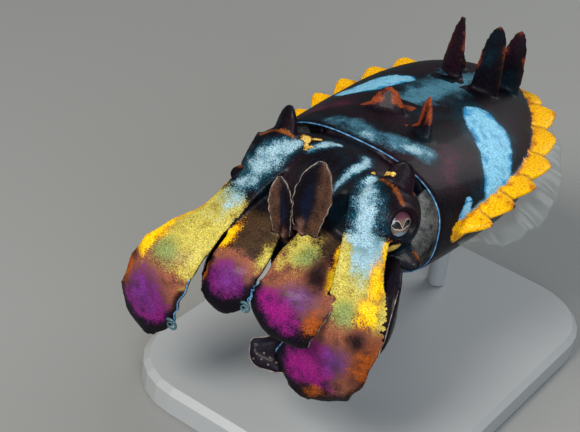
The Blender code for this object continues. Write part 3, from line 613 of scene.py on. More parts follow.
# %% One skin
MANTLE_VOXEL = 0.46
HEAD_VOXEL = 0.34
SMOOTHING = 4


def gathered(pieces):
    """All points and faces of some pieces, which are then removed."""
    points, faces = [], []
    for piece in pieces:
        start = len(points)
        points += [tuple(v.co) for v in piece.data.vertices]
        faces += [tuple(start + i for i in p.vertices) for p in piece.data.polygons]
        bpy.data.objects.remove(piece)
    return points, faces


def fuse(name, pieces, voxel):
    """One closed surface round all pieces."""
    whole = new_object(name, *gathered(pieces))
    remesh = whole.modifiers.new("voxels", "REMESH")
    remesh.mode, remesh.voxel_size, remesh.use_smooth_shade = "VOXEL", voxel * MM, True
    smooth = whole.modifiers.new("soften", "SMOOTH")
    smooth.factor, smooth.iterations = 0.5, SMOOTHING
    return evaluated(whole)


mantle_pieces = [add_piece("form", *form) for form in mantle_forms]
mantle_skin = fuse("mantle_skin", mantle_pieces, MANTLE_VOXEL)
head_pieces = [add_piece("form", *form) for form in head_forms] + arm_pieces
head_skin = fuse("head_skin", head_pieces, HEAD_VOXEL)
print("skin faces, mantle and head:", len(mantle_skin.data.polygons), len(head_skin.data.polygons))

# %% [markdown]
# The smooth back of the mantle needs far fewer triangles than its rim and its flaps, so a Decimate modifier
# thins it where it is flat. Then the two are joined, and the skin is one piece of under 200,000 triangles.

# %% Join the skin
MANTLE_KEPT = 0.36

thin = mantle_skin.modifiers.new("thin", "DECIMATE")
thin.ratio = MANTLE_KEPT
evaluated(mantle_skin)
mantle_count = len(mantle_skin.data.vertices)
skin = new_object("skin", *gathered([mantle_skin, head_skin]))
skin.data.shade_smooth()
print("skin triangles:", sum(len(p.vertices) - 2 for p in skin.data.polygons))

# %% [markdown]
# The eye opening is pressed into the skin: near the eye's axis each point moves back along it, behind the
# eyeball, and the raised lid stays as its rim.

# %% Open the lids
LID_EDGE = 0.35
LID_DEPTH = 3.3

positions = np.empty(len(skin.data.vertices) * 3)
skin.data.vertices.foreach_get("co", positions)
points = to_millimetres(positions.reshape(-1, 3))


def smooth_step(low, high, value):
    share = np.clip((value - low) / (high - low), 0, 1)
    return share * share * (3 - 2 * share)


for side in (1, -1):
    centre, axis = np.array(side_of(EYE_CENTRE, side)), np.array(side_of(EYE_AXIS, side))
    reach = (points - centre) @ axis
    off_axis = np.linalg.norm(points - centre - reach[:, None] * axis, axis=1)
    inside = (1 - smooth_step(LID_OPENING - LID_EDGE, LID_OPENING + 0.05, off_axis)) * (reach > 2.0)
    points -= axis * (inside * np.maximum(reach - LID_DEPTH, 0))[:, None]
skin.data.vertices.foreach_set("co", to_metres(points).ravel())
skin.data.update()
print("lids opened")

# %% [markdown]
# The markings are fields: numbers stored on each point of the skin, which the material turns into colour. A
# field is made either from where a point lies on an arm, or from how close it is to a stroke, a short line
# with its own width. The shader then adds grain to the fields' edges, because the real colours are made of
# tiny spots.

# %% Where each point lies
ARM_REACH = 1.1


def arm_places_of(points):
    """Each point's nearest arm, its place along, across (1: the edge to the middle) and face, and the gap."""
    best = np.full(len(points), 1e9)
    found = np.zeros((len(points), 4))
    candidates = np.nonzero(points[:, 1] < -36)[0]
    for number, (arm, (loft_points, loft_faces)) in enumerate(arm_lofts.items()):
        tree = BVHTree.FromPolygons(loft_points, loft_faces)
        places = arm_places[arm]
        corners = np.array([tuple(p) for p in loft_points])
        for i in candidates:
            hit, _, face, distance = tree.find_nearest(points[i], ARM_REACH * 2)
            if hit is None or distance >= best[i]:
                continue
            around = np.array(loft_faces[face])
            if len(around) > 4:
                around = around[np.argsort(((corners[around] - points[i]) ** 2).sum(1))[:2]]
            weight = 1 / (((corners[around] - np.array(hit)) ** 2).sum(1) + 1e-4)
            weight /= weight.sum()
            best[i] = distance
            found[i, 0] = number
            found[i, 1:] = weight @ places[around]
    return found, best


place, arm_distance = arm_places_of(points)
on_arm = (1 - smooth_step(0.5, ARM_REACH, arm_distance)) * smooth_step(0.04, 0.2, place[:, 1])
arm_number, t, w, inner_face = place.T
print("points on the arms:", int((on_arm > 0.5).sum()))

# %% [markdown]
# The marks of the back and the head have no arm to follow, so each is a few strokes. A stroke is a short
# bent line with its own half width at each point, like one pull of a brush. The rows are where those marks
# lie on this animal, in millimetres, and a stroke can be mirrored to the other side.

# %% Strokes
def near_stroke(points, stroke, side):
    """1 on the middle of a stroke, 0 at its width, and below 0 outside. Rows are (x, y, z, half width)."""
    rows = np.array(stroke, float)
    rows[:, 0] *= side
    best = np.full(len(points), -9.0)
    for a, b in zip(rows, rows[1:]):
        line = b[:3] - a[:3]
        share = np.clip(((points - a[:3]) @ line) / max(line @ line, 1e-6), 0, 1)
        gap = np.linalg.norm(points - a[:3] - share[:, None] * line, axis=1)
        best = np.maximum(best, 1 - gap / (a[3] + share * (b[3] - a[3])))
    return best


def strokes(points, table, sides=(1, -1)):
    return np.max([near_stroke(points, stroke, side) for stroke in table for side in sides], axis=0)


# The pale comma on each side of the back, the haze along the rim and on the back, and the marks of the head
COMMA_LEFT = [[(8.6, -2.8, 8.9, 3.9), (11.6, -4.6, 8.1, 4.9), (15.8, -8.6, 6.6, 4.1),
               (18.6, -13.3, 4.6, 3.1), (19.6, -15.4, 3.6, 2.4)]]
COMMA_RIGHT = [[(9.4, -0.6, 8.8, 2.2), (11.6, -2.6, 8.2, 3.4), (13.0, -7.6, 7.8, 3.3),
                (15.0, -12.0, 6.8, 2.4)]]
RIDGE_FRONT = [[(19.4, -24.4, -0.6, 1.7), (18.9, -24.0, 2.2, 1.6), (18.4, -22.2, 4.0, 1.2)]]
RIM_HAZE = [[(-7.6, -27.2, 10.8, 2.4), (-3.4, -26.8, 11.2, 3.0), (1.0, -27.4, 11.3, 2.6),
             (5.4, -25.8, 11.2, 3.0), (9.6, -24.0, 10.4, 2.6)]]
RIM_BLOTCHES = [[(-6.6, -26.6, 10.9, 1.1), (-4.6, -27.0, 11.1, 0.9)],
                [(-0.8, -28.4, 11.4, 1.3), (2.6, -27.4, 11.3, 2.0)],
                [(6.2, -25.8, 11.1, 2.1), (9.4, -24.2, 10.4, 1.9)]]
SADDLE = [[(-3.4, -11.5, 10.0, 3.2), (-2.6, -4.0, 9.9, 4.8), (-2.4, 4.0, 9.4, 5.2), (-3.6, 13.0, 7.6, 4.2)]]
MAROON = [[(11.6, -19.4, 9.4, 3.6), (14.6, -24.0, 8.2, 3.0)]]
PATCH_HEAD = [[(7.6, -38.2, 10.4, 1.2), (8.6, -40.2, 9.9, 2.2), (10.0, -42.4, 8.6, 2.8),
               (11.0, -44.2, 6.8, 3.0), (12.6, -46.0, 4.4, 3.4)]]
STREAK_LEFT = [[(4.0, -34.2, 11.2, 1.3), (4.9, -36.2, 11.2, 1.2)],
               [(4.9, -36.2, 11.2, 1.2), (4.3, -38.6, 10.7, 1.1), (3.7, -41.0, 9.6, 0.8),
                (3.4, -43.0, 7.8, 0.5)]]
STREAK_RIGHT = [[(-1.6, -34.6, 11.2, 0.7), (-3.0, -35.6, 11.2, 1.2), (-4.6, -38.6, 10.6, 1.0)]]
GOLD_LEFT = [[(7.0, -37.0, 10.9, 0.4), (9.2, -37.0, 11.8, 0.6), (11.0, -37.2, 12.6, 0.4)],
             [(8.2, -36.4, 11.4, 0.35), (9.8, -36.4, 12.2, 0.3)]]
GOLD_RIGHT = [[(-8.6, -35.4, 11.2, 0.9), (-7.4, -36.4, 11.0, 1.0), (-6.4, -37.2, 10.8, 0.6)],
              [(-5.8, -35.8, 11.2, 0.5), (-5.0, -35.4, 11.2, 0.4)]]
GOLD_STREAK = [[(-6.0, -38.0, 10.5, 0.5), (-5.4, -38.8, 10.3, 0.6), (-4.8, -38.0, 10.8, 0.4)]]
BROW = [[(9.0, -37.9, 10.9, 0.5), (11.0, -38.2, 11.0, 0.8), (13.1, -38.7, 10.4, 0.8),
         (14.8, -39.2, 9.0, 0.6)],
        [(13.9, -35.0, 9.6, 0.6), (14.6, -34.6, 6.0, 0.6)],
        [(17.4, -38.4, 2.6, 0.7), (19.2, -38.2, 0.0, 0.9)]]
CHEEK = [[(16.2, -40.9, 2.4, 0.9), (15.6, -42.2, 1.4, 1.2), (15.4, -43.8, 0.2, 1.1),
          (16.4, -45.6, 1.0, 1.0)]]
print("strokes on the left of the head:", len(STREAK_LEFT + GOLD_LEFT + BROW + CHEEK + PATCH_HEAD))

# %% [markdown]
# The commas of the back are pale blue, with a dark halo round them. A blue haze lies along the rim and on
# the saddle. The head has two pale patches that run down to the arms, short streaks, gold flecks and rusty
# brows. Marks that the animal has on one side only are given that side alone.

# %% Fields of the mantle and the head
fields = {}
on_mantle = np.zeros(len(points))
on_mantle[:mantle_count] = 1
x, y, z = points.T
comma = np.maximum(strokes(points, COMMA_LEFT, (1,)), strokes(points, COMMA_RIGHT, (-1,)))
streak = np.maximum(strokes(points, STREAK_LEFT, (1,)), strokes(points, STREAK_RIGHT, (1,)))
head_patch = strokes(points, PATCH_HEAD)
fields["halo"] = np.maximum(comma, np.maximum(streak, head_patch))
fields["comma"] = np.maximum(comma, strokes(points, RIDGE_FRONT))
fields["pale"] = np.maximum(streak, np.maximum(head_patch, strokes(points, RIM_BLOTCHES, (1,))))
fields["haze"] = np.maximum(strokes(points, SADDLE, (1,)), strokes(points, RIM_HAZE, (1,)))
fields["maroon"] = strokes(points, MAROON)
head_gold = strokes(points, GOLD_LEFT + GOLD_RIGHT + GOLD_STREAK, (1,))
fields["gold"] = np.maximum(head_gold, strokes(points, CHEEK))
fields["orange"] = strokes(points, BROW)
print("fields of the mantle and the head:", len(fields))

# %% [markdown]
# The ridge is yellow, with painted shade darkening its creases and a pale blue border above it. Its field is
# how near a point lies to the line of lobe tips. A back flap turns from black in its middle to rust at its
# rim, and the haze keeps off it. The inner wall of the collar is bare grey skin, found as the points that lie
# inside the mantle's own outline.

# %% Fields of the ridge, the flaps and the collar
OUTSIDE = -9.0
LINING_FRONT = -26.0

ridge_field = np.full(len(points), OUTSIDE)
ridge_y = np.zeros(len(points))
pale_border = np.full(len(points), OUTSIDE)
for side in (1, -1):
    for i in range(121):
        share = i / 120
        station = RIDGE_CREASES[0] + (RIDGE_CREASES[-1] - RIDGE_CREASES[0]) * share
        root, out = margin_point(station, ridge_height(share, side))
        tip = np.array(on_side(root + out * 1.6 + Vector((0, 0, 0.9)), side))
        border = np.array(on_side(root - out * 0.2 + Vector((0, 0, 2.3)), side))
        near = 1 - np.linalg.norm(points - tip, axis=1) / 3.4
        ridge_y = np.where(near > ridge_field, root.y, ridge_y)
        ridge_field = np.maximum(ridge_field, near)
        pale_border = np.maximum(pale_border, 1 - np.linalg.norm(points - border, axis=1) / 1.3)
fields["ridge"] = np.where(on_mantle > 0, ridge_field, OUTSIDE)
crease_gap = np.min([np.abs(ridge_y - crease) for crease in RIDGE_CREASES[1:-1]], axis=0)
# Painted shade: the colour darkens near the creases between the ridge's lobes
fields["crease"] = np.where((on_mantle > 0) & (ridge_field > 0.12), 1 - crease_gap / 0.55, OUTSIDE)
fields["comma_spots"] = np.clip(3 * comma, -3, 1)
fields["border"] = np.where(on_mantle > 0, pale_border, OUTSIDE)

flap_edge = np.full(len(points), OUTSIDE)
for place_xy, tip, size, facing in BACK_FLAPS:
    tip = np.array(tip)
    root = np.array((*place_xy, back_height(*place_xy)))
    length = np.linalg.norm(tip - root)
    axis = (tip - root) / length
    wide = np.cross(axis, np.array(facing))
    wide /= np.linalg.norm(wide)
    up = (points - root) @ axis / length
    off = np.linalg.norm(points - root - ((points - root) @ axis)[:, None] * axis, axis=1)
    across = np.abs((points - root) @ wide) / (size[0] / 2 * (1 - (1 - size[2]) * np.clip(up, 0, 1)))
    rim = np.maximum(across, 3.5 * up - 2.6) + (0.75 if root[1] < -10 else 0.0)
    on_flap = (off < size[0] * 0.7) & (across < 1.3) & (up > 0.05)
    flap_edge = np.maximum(flap_edge, np.where(on_flap, rim * smooth_step(0.05, 0.4, up), OUTSIDE))
fields["rust"] = flap_edge
fields["haze"] = np.where(flap_edge > OUTSIDE + 1, OUTSIDE, fields["haze"])

stations = np.array([along(MANTLE, RIM + 0.5 * i) for i in range(20)])
half, top, bottom, squareness = (np.interp(y, stations[:, 0], stations[:, k]) for k in (1, 2, 3, 4))
share = (np.abs(x) / half) ** squareness + (np.abs(z) / np.where(z > 0, top, bottom)) ** squareness
lateral = smooth_step(9.0, 12.5, np.abs(x) - 0.3 * np.maximum(z, 0))
inside = (1 - share ** (1 / squareness)) * lateral - 0.1 * (1 - lateral)
fields["lining"] = np.where((on_mantle > 0) & (y < LINING_FRONT), inside, -1)
print("fields:", sorted(fields))

# %% [markdown]
# On the arms the markings follow the arm. The broad arms are white near the head, then yellow with gold
# towards the outer edge, then brown and magenta, and nearly black at the tip, with a thin pale edge. Arms
# two are dark olive at the root. The first arms are brown outside and dark blue in their hollow, and the
# lowest are nearly black. Every field is a few steps and oval spots in two numbers: how far along the arm,
# and how far across.

# %% Fields of the arms
ARM_STEPS = 40
NONE = -3.0

arms = list(ARMS)
arm_rows = np.array([[spline(ARMS[arm]["line"], i / ARM_STEPS) for i in range(ARM_STEPS + 1)]
                     for arm in arms])
arm_lengths = [sum(float(np.linalg.norm(b[:3] - a[:3])) for a, b in zip(rows, rows[1:])) for rows in arm_rows]
half_here = arm_rows[arm_number.astype(int), np.clip((t * ARM_STEPS).astype(int), 0, ARM_STEPS), 3]
length_here = np.array(arm_lengths)[arm_number.astype(int)]
outer_face = 1 - smooth_step(0.3, 0.7, inner_face)
broad = on_arm * outer_face
edge_gap = np.minimum((1 - np.abs(w)) * half_here, (1 - t) * length_here + 0.1)


def spot(along_at, across_at, along_size, across_size):
    """1 in the middle of an oval spot on an arm and 0 at its edge."""
    return 1 - np.hypot((t - along_at) / along_size, (w - across_at) / across_size)


def stretch(start, end, fade):
    """1 from start to end along the arm, falling to 0 over a fade at each end."""
    return np.minimum((t - start) / fade + 1, (end - t) / fade + 1).clip(-3, 1)


def by_arm(mask, **given):
    """One field from one for each arm, where the mask is 1. arm_2 stands for both arms of that pair."""
    chosen = np.full(t.shape, NONE)
    for number, arm in enumerate(arms):
        if arm in given or arm[:5] in given:
            chosen = np.where(arm_number == number, given.get(arm, given.get(arm[:5])), chosen)
    return chosen * mask + NONE * (1 - mask)


side_light = smooth_step(0.2, 0.9, w)
tip_dark = 1 - edge_gap / (1.7 + 3.0 * smooth_step(0.80, 1.0, t))
fields["arm_ground"] = on_arm * 2 - 1
fields["arm_petal"] = by_arm(on_arm, arm_1=0.55 - 0.5 * w)
fields["arm_olive"] = by_arm(broad, arm_2_right=stretch(-1, 0.34, 0.10), arm_2_left=stretch(-1, 0.20, 0.12))
fields["arm_brown"] = by_arm(
    broad,
    arm_2_right=stretch(0.40, 0.52, 0.08),
    arm_2_left=stretch(0.34, 0.56, 0.12),
    arm_3_right=stretch(0.50, 0.72, 0.10),
    arm_3_left=stretch(0.56, 0.76, 0.10))
fields["arm_magenta"] = by_arm(
    broad,
    arm_2_right=spot(0.58, -0.05, 0.19, 1.05),
    arm_2_left=spot(0.64, 0.14, 0.19, 1.0),
    arm_3_right=spot(0.765, 0.0, 0.165, 1.05),
    arm_3_left=spot(0.795, 0.20, 0.16, 0.90))
fields["arm_violet"] = by_arm(
    broad,
    arm_2_left=spot(0.50, -0.2, 0.12, 0.8),
    arm_3_right=spot(0.74, -0.1, 0.17, 1.0),
    arm_2_right=spot(0.57, 0.0, 0.19, 1.0),
    arm_3_left=spot(0.71, -0.15, 0.09, 0.7))
fields["arm_yellow"] = by_arm(
    broad,
    arm_2_right=spot(0.33, 0.85, 0.12, 0.40),
    arm_2_left=spot(0.28, 0.45, 0.15, 0.85),
    arm_3_right=stretch(0.24, 0.46 + 0.05 * side_light, 0.13),
    arm_3_left=stretch(0.24, 0.50, 0.08))
fields["arm_green"] = by_arm(
    broad,
    arm_2_left=spot(0.30, 0.1, 0.10, 0.6) - 0.1,
    arm_3_right=spot(0.53, -0.15, 0.09, 0.7),
    arm_3_left=spot(0.52, 0.3, 0.09, 0.65))
fields["arm_white"] = by_arm(
    broad,
    arm_3_right=stretch(-1, 0.13, 0.22) - 0.8 * np.abs(w) ** 3,
    arm_3_left=stretch(-1, 0.27, 0.17) - 2 * np.clip(w - 0.35, 0, 1) - 0.6 * np.abs(w) ** 3)
fields["arm_gold"] = by_arm(
    broad,
    arm_2_right=spot(0.31, -0.88, 0.11, 0.45),
    arm_2_left=np.maximum(spot(0.36, -0.88, 0.10, 0.30), spot(0.22, -0.9, 0.12, 0.25)),
    arm_3_right=np.maximum(spot(0.52, -0.90, 0.15, 0.48), spot(0.36, -1.0, 0.14, 0.25)),
    arm_3_left=np.max([spot(0.36, -0.68, 0.13, 0.40),
                       spot(0.49, -0.38, 0.09, 0.45),
                       spot(0.22, -0.95, 0.12, 0.30)], axis=0))
fields["gold"] = np.maximum(fields["gold"], by_arm(broad, arm_4_left=spot(0.13, 0.60, 0.055, 0.70)))
fields["arm_dark"] = by_arm(
    on_arm,
    arm_2_right=tip_dark - 4 * (1 - smooth_step(0.32, 0.48, t)),
    arm_2_left=np.maximum(tip_dark - 4 * (1 - smooth_step(0.40, 0.54, t)),
                          spot(0.37, -0.45, 0.12, 0.50)),
    arm_3_right=tip_dark - 4 * (1 - smooth_step(0.52, 0.64, t)),
    arm_3_left=np.maximum(tip_dark - 4 * (1 - smooth_step(0.56, 0.70, t)),
                          spot(0.61, -0.35, 0.07, 0.45) - 0.1),
    arm_4=1.0)
fields["arm_rust"] = by_arm(
    broad,
    arm_2_right=spot(0.62, -0.95, 0.12, 0.20),
    arm_2_left=spot(0.58, -0.80, 0.11, 0.32),
    arm_3_right=spot(0.68, -0.92, 0.08, 0.28),
    arm_3_left=np.maximum(spot(0.67, -0.80, 0.10, 0.45), spot(0.90, -0.35, 0.07, 0.50)))
fields["arm_hollow"] = by_arm(on_arm, arm_1=1 - np.hypot((t - 0.60) / 0.42, (w - 0.30) / 0.62))
fields["arm_pink"] = by_arm(on_arm, arm_1=1 - np.hypot((t - 0.32) / 0.22, (w - 0.55) / 0.7))
fields["arm_inner"] = by_arm(on_arm, arm_2=inner_face, arm_3=inner_face, arm_4=inner_face)
fields["under"] = smooth_step(2.0, 9.0, -z) * (1 - on_arm)


def store(piece, name, values, kind="FLOAT"):
    """Keeps a value for each point of a piece, under the name by which a material or a modifier reads it."""
    layer = piece.data.attributes.new(name, kind, "POINT")
    socket = "vector" if kind == "FLOAT_VECTOR" else "value"
    layer.data.foreach_set(socket, np.asarray(values, np.float32).ravel())


for name, values in fields.items():
    store(skin, name, np.clip(values, -3, 3))
print("fields stored:", len(fields))

# %% [markdown]
# A material is a chain of shader nodes. One small function adds a node with its settings and its links, and
# one turns the hex colours that people pick on a screen into the linear ones that the shader wants.

# %% Node helpers
def colour(code):
    """An sRGB hex colour as linear RGBA."""
    parts = [int(code[i:i + 2], 16) / 255 for i in (1, 3, 5)]
    return tuple(p / 12.92 if p <= 0.04045 else ((p + 0.055) / 1.055) ** 2.4 for p in parts) + (1.0,)


def new_material(name):
    material = bpy.data.materials.new(name)
    material.use_nodes = True
    return material, material.node_tree, material.node_tree.nodes["Principled BSDF"]


def node(tree, kind, settings=None, inputs=None):
    """Adds a node. inputs gives each socket a value, or another node's output to link it to."""
    made = tree.nodes.new(kind)
    for key, value in (settings or {}).items():
        setattr(made, key, value)
    for key, value in (inputs or {}).items():
        if isinstance(value, bpy.types.NodeSocket):
            tree.links.new(value, made.inputs[key])
        else:
            made.inputs[key].default_value = value
    return made


print("white, as the shader wants it:", colour("#FFFFFF"))

# %% [markdown]
# The skin of a cuttlefish is covered with chromatophores, tiny sacks of yellow, red and brown colour, over
# cells that reflect white and blue. Each marking is therefore laid over the one below it with a grainy
# edge. The skin is wet, so it has a smooth thin coat over a softer surface. The real spots are about a
# tenth of a millimetre; they are drawn about twice as coarse, so that they show.

# %% Skin material
GRAIN_SIZE = 0.22
SPOT_SIZE = 0.55
CLOUD_SIZE = 2.2
VEIL_SIZE = 9.0
MOTTLING = 1.6
# Field, colour in its middle, colour at its edge, where it starts, how soft that edge is, how much the grain
# and the clouds move it, and its strength
SKIN_LAYERS = [("under", "#5E4A58", "#2E2430", 0.2, 0.7, 0.3, 0.2, 0.6),
               ("maroon", "#4A1830", "#22101E", 0.0, 0.9, 0.5, 0.3, 0.8),
               ("halo", "#0A2C3A", "#071A24", -0.55, 0.5, 0.15, 0.3, 0.85),
               ("haze", "#4E869C", "#1A4658", -0.15, 0.8, 0.3, 0.35, 0.85),
               ("arm_ground", "#0A060E", "#150A12", 0.0, 0.5, 0.0, 0.0, 1.0),
               ("arm_olive", "#43301E", "#1C130C", 0.1, 0.7, 0.35, 0.4, 0.95),
               ("arm_petal", "#5A3E30", "#1C1214", 0.1, 0.8, 0.3, 0.3, 0.9),
               ("arm_brown", "#9A5C42", "#3E2230", 0.1, 0.8, 0.3, 0.4, 0.9),
               ("arm_magenta", "#8C1670", "#381246", 0.02, 0.55, 0.35, 0.35, 0.95),
               ("arm_violet", "#5A3480", "#341C44", 0.05, 0.8, 0.35, 0.3, 0.65),
               ("arm_yellow", "#C8BA54", "#826A22", 0.0, 0.9, 0.45, 0.6, 0.95),
               ("arm_green", "#7E9256", "#7C8A46", 0.0, 0.8, 0.35, 0.4, 0.85),
               ("arm_white", "#98BCCA", "#7C9C84", 0.2, 0.7, 0.5, 0.5, 0.95),
               ("arm_gold", "#FFCE0C", "#C87C06", 0.05, 0.4, 0.45, 0.5, 0.95),
               ("arm_dark", "#07050A", "#140A14", 0.0, 0.7, 0.35, 0.5, 0.95),
               ("arm_rust", "#9C4A0E", "#3C180A", 0.05, 0.5, 0.8, 0.5, 0.9),
               ("arm_hollow", "#0A142C", "#050814", 0.1, 0.5, 0.15, 0.2, 0.95),
               ("arm_pink", "#8E665A", "#4A302E", 0.0, 0.8, 0.2, 0.2, 0.85),
               ("pale", "#98BCCA", "#2E6A80", 0.02, 0.6, 0.6, 0.6, 0.95),
               ("comma", "#84C8E6", "#2A88B8", 0.0, 0.14, 0.10, 0.12, 1.0),
               ("comma_spots", "#1476A8", "#1476A8", 1.05, 0.5, 0.3, 1.5, 0.55),
               ("gold", "#E8C464", "#B07E1E", 0.0, 0.25, 0.35, 0.5, 0.95),
               ("orange", "#94501E", "#3C1C10", 0.0, 0.6, 0.6, 0.5, 0.9),
               ("rust", "#8A3C1C", "#32140E", 0.62, 0.5, 0.25, 0.6, 0.92),
               ("border", "#8FC0D6", "#4A86A0", 0.05, 0.35, 0.3, 0.4, 0.8),
               ("ridge", "#F4B404", "#C47A04", 0.12, 0.12, 0.12, 0.25, 1.0),
               # The crease layer is painted shade in the folds between the ridge's lobes
               ("crease", "#7A4A06", "#9A6206", 0.0, 0.8, 0.3, 0.5, 0.6),
               ("lining", "#A8A69E", "#6E7070", 0.02, 0.03, 0.0, 0.0, 0.95),
               ("arm_inner", "#16101C", "#0A0810", 0.5, 0.3, 0.1, 0.0, 0.95)]


def skin_material():
    """Wet skin. The grainy edges read as living colour cells, and the thin coat's highlights as moisture."""
    material, tree, shader = new_material("moist_chromatophore_skin")
    place = node(tree, "ShaderNodeTexCoord").outputs["Object"]
    grain = node(tree, "ShaderNodeTexNoise",
                 inputs={"Vector": place, "Scale": 1 / (GRAIN_SIZE * MM), "Detail": 2.0})
    cells = node(tree, "ShaderNodeTexVoronoi", inputs={"Vector": place, "Scale": 1 / (SPOT_SIZE * MM)})
    clouds = node(tree, "ShaderNodeTexNoise",
                  inputs={"Vector": place, "Scale": 1 / (CLOUD_SIZE * MM), "Detail": 3.0})
    veil = node(tree, "ShaderNodeTexNoise",
                inputs={"Vector": place, "Scale": 1 / (VEIL_SIZE * MM), "Detail": 2.0})
    dark = node(tree, "ShaderNodeMix", {"data_type": "RGBA"},
                {"Factor": grain.outputs["Fac"], "A": colour("#030306"), "B": colour("#120C16")})
    warmth = node(tree, "ShaderNodeMapRange",
                  inputs={"Value": veil.outputs["Fac"], "From Min": 0.50, "From Max": 0.66})
    warm = node(tree, "ShaderNodeMix", {"data_type": "RGBA"},
                {"Factor": warmth.outputs[0], "A": dark.outputs["Result"], "B": colour("#1E0A16")})
    cold = node(tree, "ShaderNodeMapRange",
                inputs={"Value": veil.outputs["Fac"], "From Min": 0.46, "From Max": 0.32})
    ground = node(tree, "ShaderNodeMix", {"data_type": "RGBA"},
                  {"Factor": cold.outputs[0], "A": warm.outputs["Result"], "B": colour("#081C26")})
    painted = ground.outputs["Result"]
    fine, broad = (node(tree, "ShaderNodeMath", {"operation": "SUBTRACT"},
                        {0: noise.outputs["Fac"], 1: 0.5}).outputs[0]
                   for noise in (grain, clouds))
    for name, code, shade, start, soft, rough_edge, wander, strength in SKIN_LAYERS:
        field = node(tree, "ShaderNodeAttribute", {"attribute_name": name}).outputs["Fac"]
        strayed = node(tree, "ShaderNodeMath", {"operation": "MULTIPLY_ADD"},
                       {0: broad, 1: 2 * wander, 2: field})
        shifted = node(tree, "ShaderNodeMath", {"operation": "MULTIPLY_ADD"},
                       {0: fine, 1: 3 * rough_edge, 2: strayed.outputs[0]})
        share = node(tree, "ShaderNodeMapRange", {"interpolation_type": "SMOOTHSTEP"},
                     {"Value": shifted.outputs[0], "From Min": start, "From Max": start + soft,
                      "To Max": strength})
        mottled = node(tree, "ShaderNodeMath", {"operation": "MULTIPLY_ADD"},
                       {0: broad, 1: MOTTLING, 2: strayed.outputs[0]})
        depth = node(tree, "ShaderNodeMapRange",
                     inputs={"Value": mottled.outputs[0], "From Min": start,
                             "From Max": start + 0.25 + 0.9 * soft})
        own = node(tree, "ShaderNodeMix", {"data_type": "RGBA"},
                   {"Factor": depth.outputs[0], "A": colour(shade), "B": colour(code)})
        layer = node(tree, "ShaderNodeMix", {"data_type": "RGBA"},
                     {"Factor": share.outputs[0], "A": painted, "B": own.outputs["Result"]})
        painted = layer.outputs["Result"]
    speckle = node(tree, "ShaderNodeMapRange",
                   inputs={"Value": grain.outputs["Fac"], "From Min": 0.3, "From Max": 0.7,
                           "To Min": 0.40, "To Max": 1.40})
    grainy = node(tree, "ShaderNodeMix", {"data_type": "RGBA", "blend_type": "MULTIPLY"},
                  {"Factor": 1.0, "A": painted, "B": speckle.outputs[0]})
    # Painted highlight: near each cell's middle the colour is screened over itself as a painted glint, then
    # toward a painted blue-grey reflection.
    painted_glint = node(tree, "ShaderNodeMapRange",
                 inputs={"Value": cells.outputs["Distance"], "From Min": 0.24, "From Max": 0.10,
                         "To Max": 0.20})
    painted_sparkle = node(tree, "ShaderNodeMix", {"data_type": "RGBA", "blend_type": "SCREEN"},
               {"Factor": painted_glint.outputs[0], "A": grainy.outputs["Result"], "B": grainy.outputs["Result"]})
    painted_reflection = node(tree, "ShaderNodeMix", {"data_type": "RGBA", "blend_type": "SCREEN"},
                  {"Factor": painted_glint.outputs[0], "A": painted_sparkle.outputs["Result"], "B": colour("#2C4658")})
    bump = node(tree, "ShaderNodeBump",
                inputs={"Strength": 0.5, "Distance": 0.09 * MM, "Height": grain.outputs["Fac"]})
    pimples = node(tree, "ShaderNodeBump",
                   inputs={"Strength": 0.4, "Distance": 0.08 * MM, "Height": cells.outputs["Distance"],
                           "Normal": bump.outputs["Normal"]})
    tree.links.new(painted_reflection.outputs["Result"], shader.inputs["Base Color"])
    tree.links.new(pimples.outputs["Normal"], shader.inputs["Normal"])
    shader.inputs["Roughness"].default_value = 0.5
    shader.inputs["Specular IOR Level"].default_value = 0.09
    shader.inputs["Coat Weight"].default_value = 0.05
    shader.inputs["Coat Roughness"].default_value = 0.12
    return material


skin.data.materials.append(skin_material())
FLESH = ["mantle", "head", "funnel", "mouth"] + [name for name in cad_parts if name.startswith("arm_")]
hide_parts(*FLESH)
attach(skin, "root")
print("colour layers of the skin:", len(SKIN_LAYERS), "solids replaced:", len(FLESH))

# %% [markdown]
# The petals and the rim of the mantle end in a fine raised line, pale on the arms and bright blue on the
# mantle, where the blue is a painted highlight. The four broad upper arms also have a short beaded blue line
# near their inner edge, a painted highlight too. Such a line is thinner than the skin's own voxels, so it is
# a thin tube of its own. On an arm the tube follows the edge in the tables, drawn most of the way to the
# nearest place on the finished skin, and is then smoothed. It stops where no skin is near, as where another
# arm hides the edge. The mantle's line lies on the rim itself, all the way round.

# %% Fine lines along the edges
LINE_RADIUS = 0.085
LINE_SIDES = 6
LINE_REACH = 0.9
LINE_PULL = 0.7
LINE_SMOOTHINGS = 4
RIM_LINE_RADIUS = 0.13
INNER_LINE_RADIUS = 0.07
ARM_LINE_FROM = {"arm_1": 0.30, "arm_2": 0.46, "arm_3": 0.52, "arm_4": 0.25}
BEAD_SPACING = 5


def edge_path(arm):
    """Points along an arm's edge: out along its outer edge, round the tip and back along the inner one."""
    start = ARM_LINE_FROM[arm[:5]]
    steps = [(start + (1 - start) * i / 150, -1.0) for i in range(151)]
    steps += [(1.0, -1 + 2 * i / 24) for i in range(1, 24)] + [(t, 1.0) for t, _ in reversed(steps)]
    pairs = [arm_surface(arm, t, s) for t, s in steps]
    return [(outer + inner) / 2 for outer, inner in pairs]


def laid_on_skin(path, tree):
    """The path drawn towards the skin, in stretches where the skin is near enough, each smoothed."""
    runs, run = [], []
    for point in path:
        place, _, _, _ = tree.find_nearest(point, LINE_REACH)
        if place is None:
            runs.append(run)
            run = []
        else:
            run.append(Vector(point).lerp(place, LINE_PULL))
    runs.append(run)
    smoothed = []
    for run in runs:
        if len(run) < 8:
            continue
        line = np.array([tuple(p) for p in run])
        for _ in range(LINE_SMOOTHINGS):
            line[1:-1] = 0.25 * line[:-2] + 0.5 * line[1:-1] + 0.25 * line[2:]
        smoothed.append(line)
    return smoothed


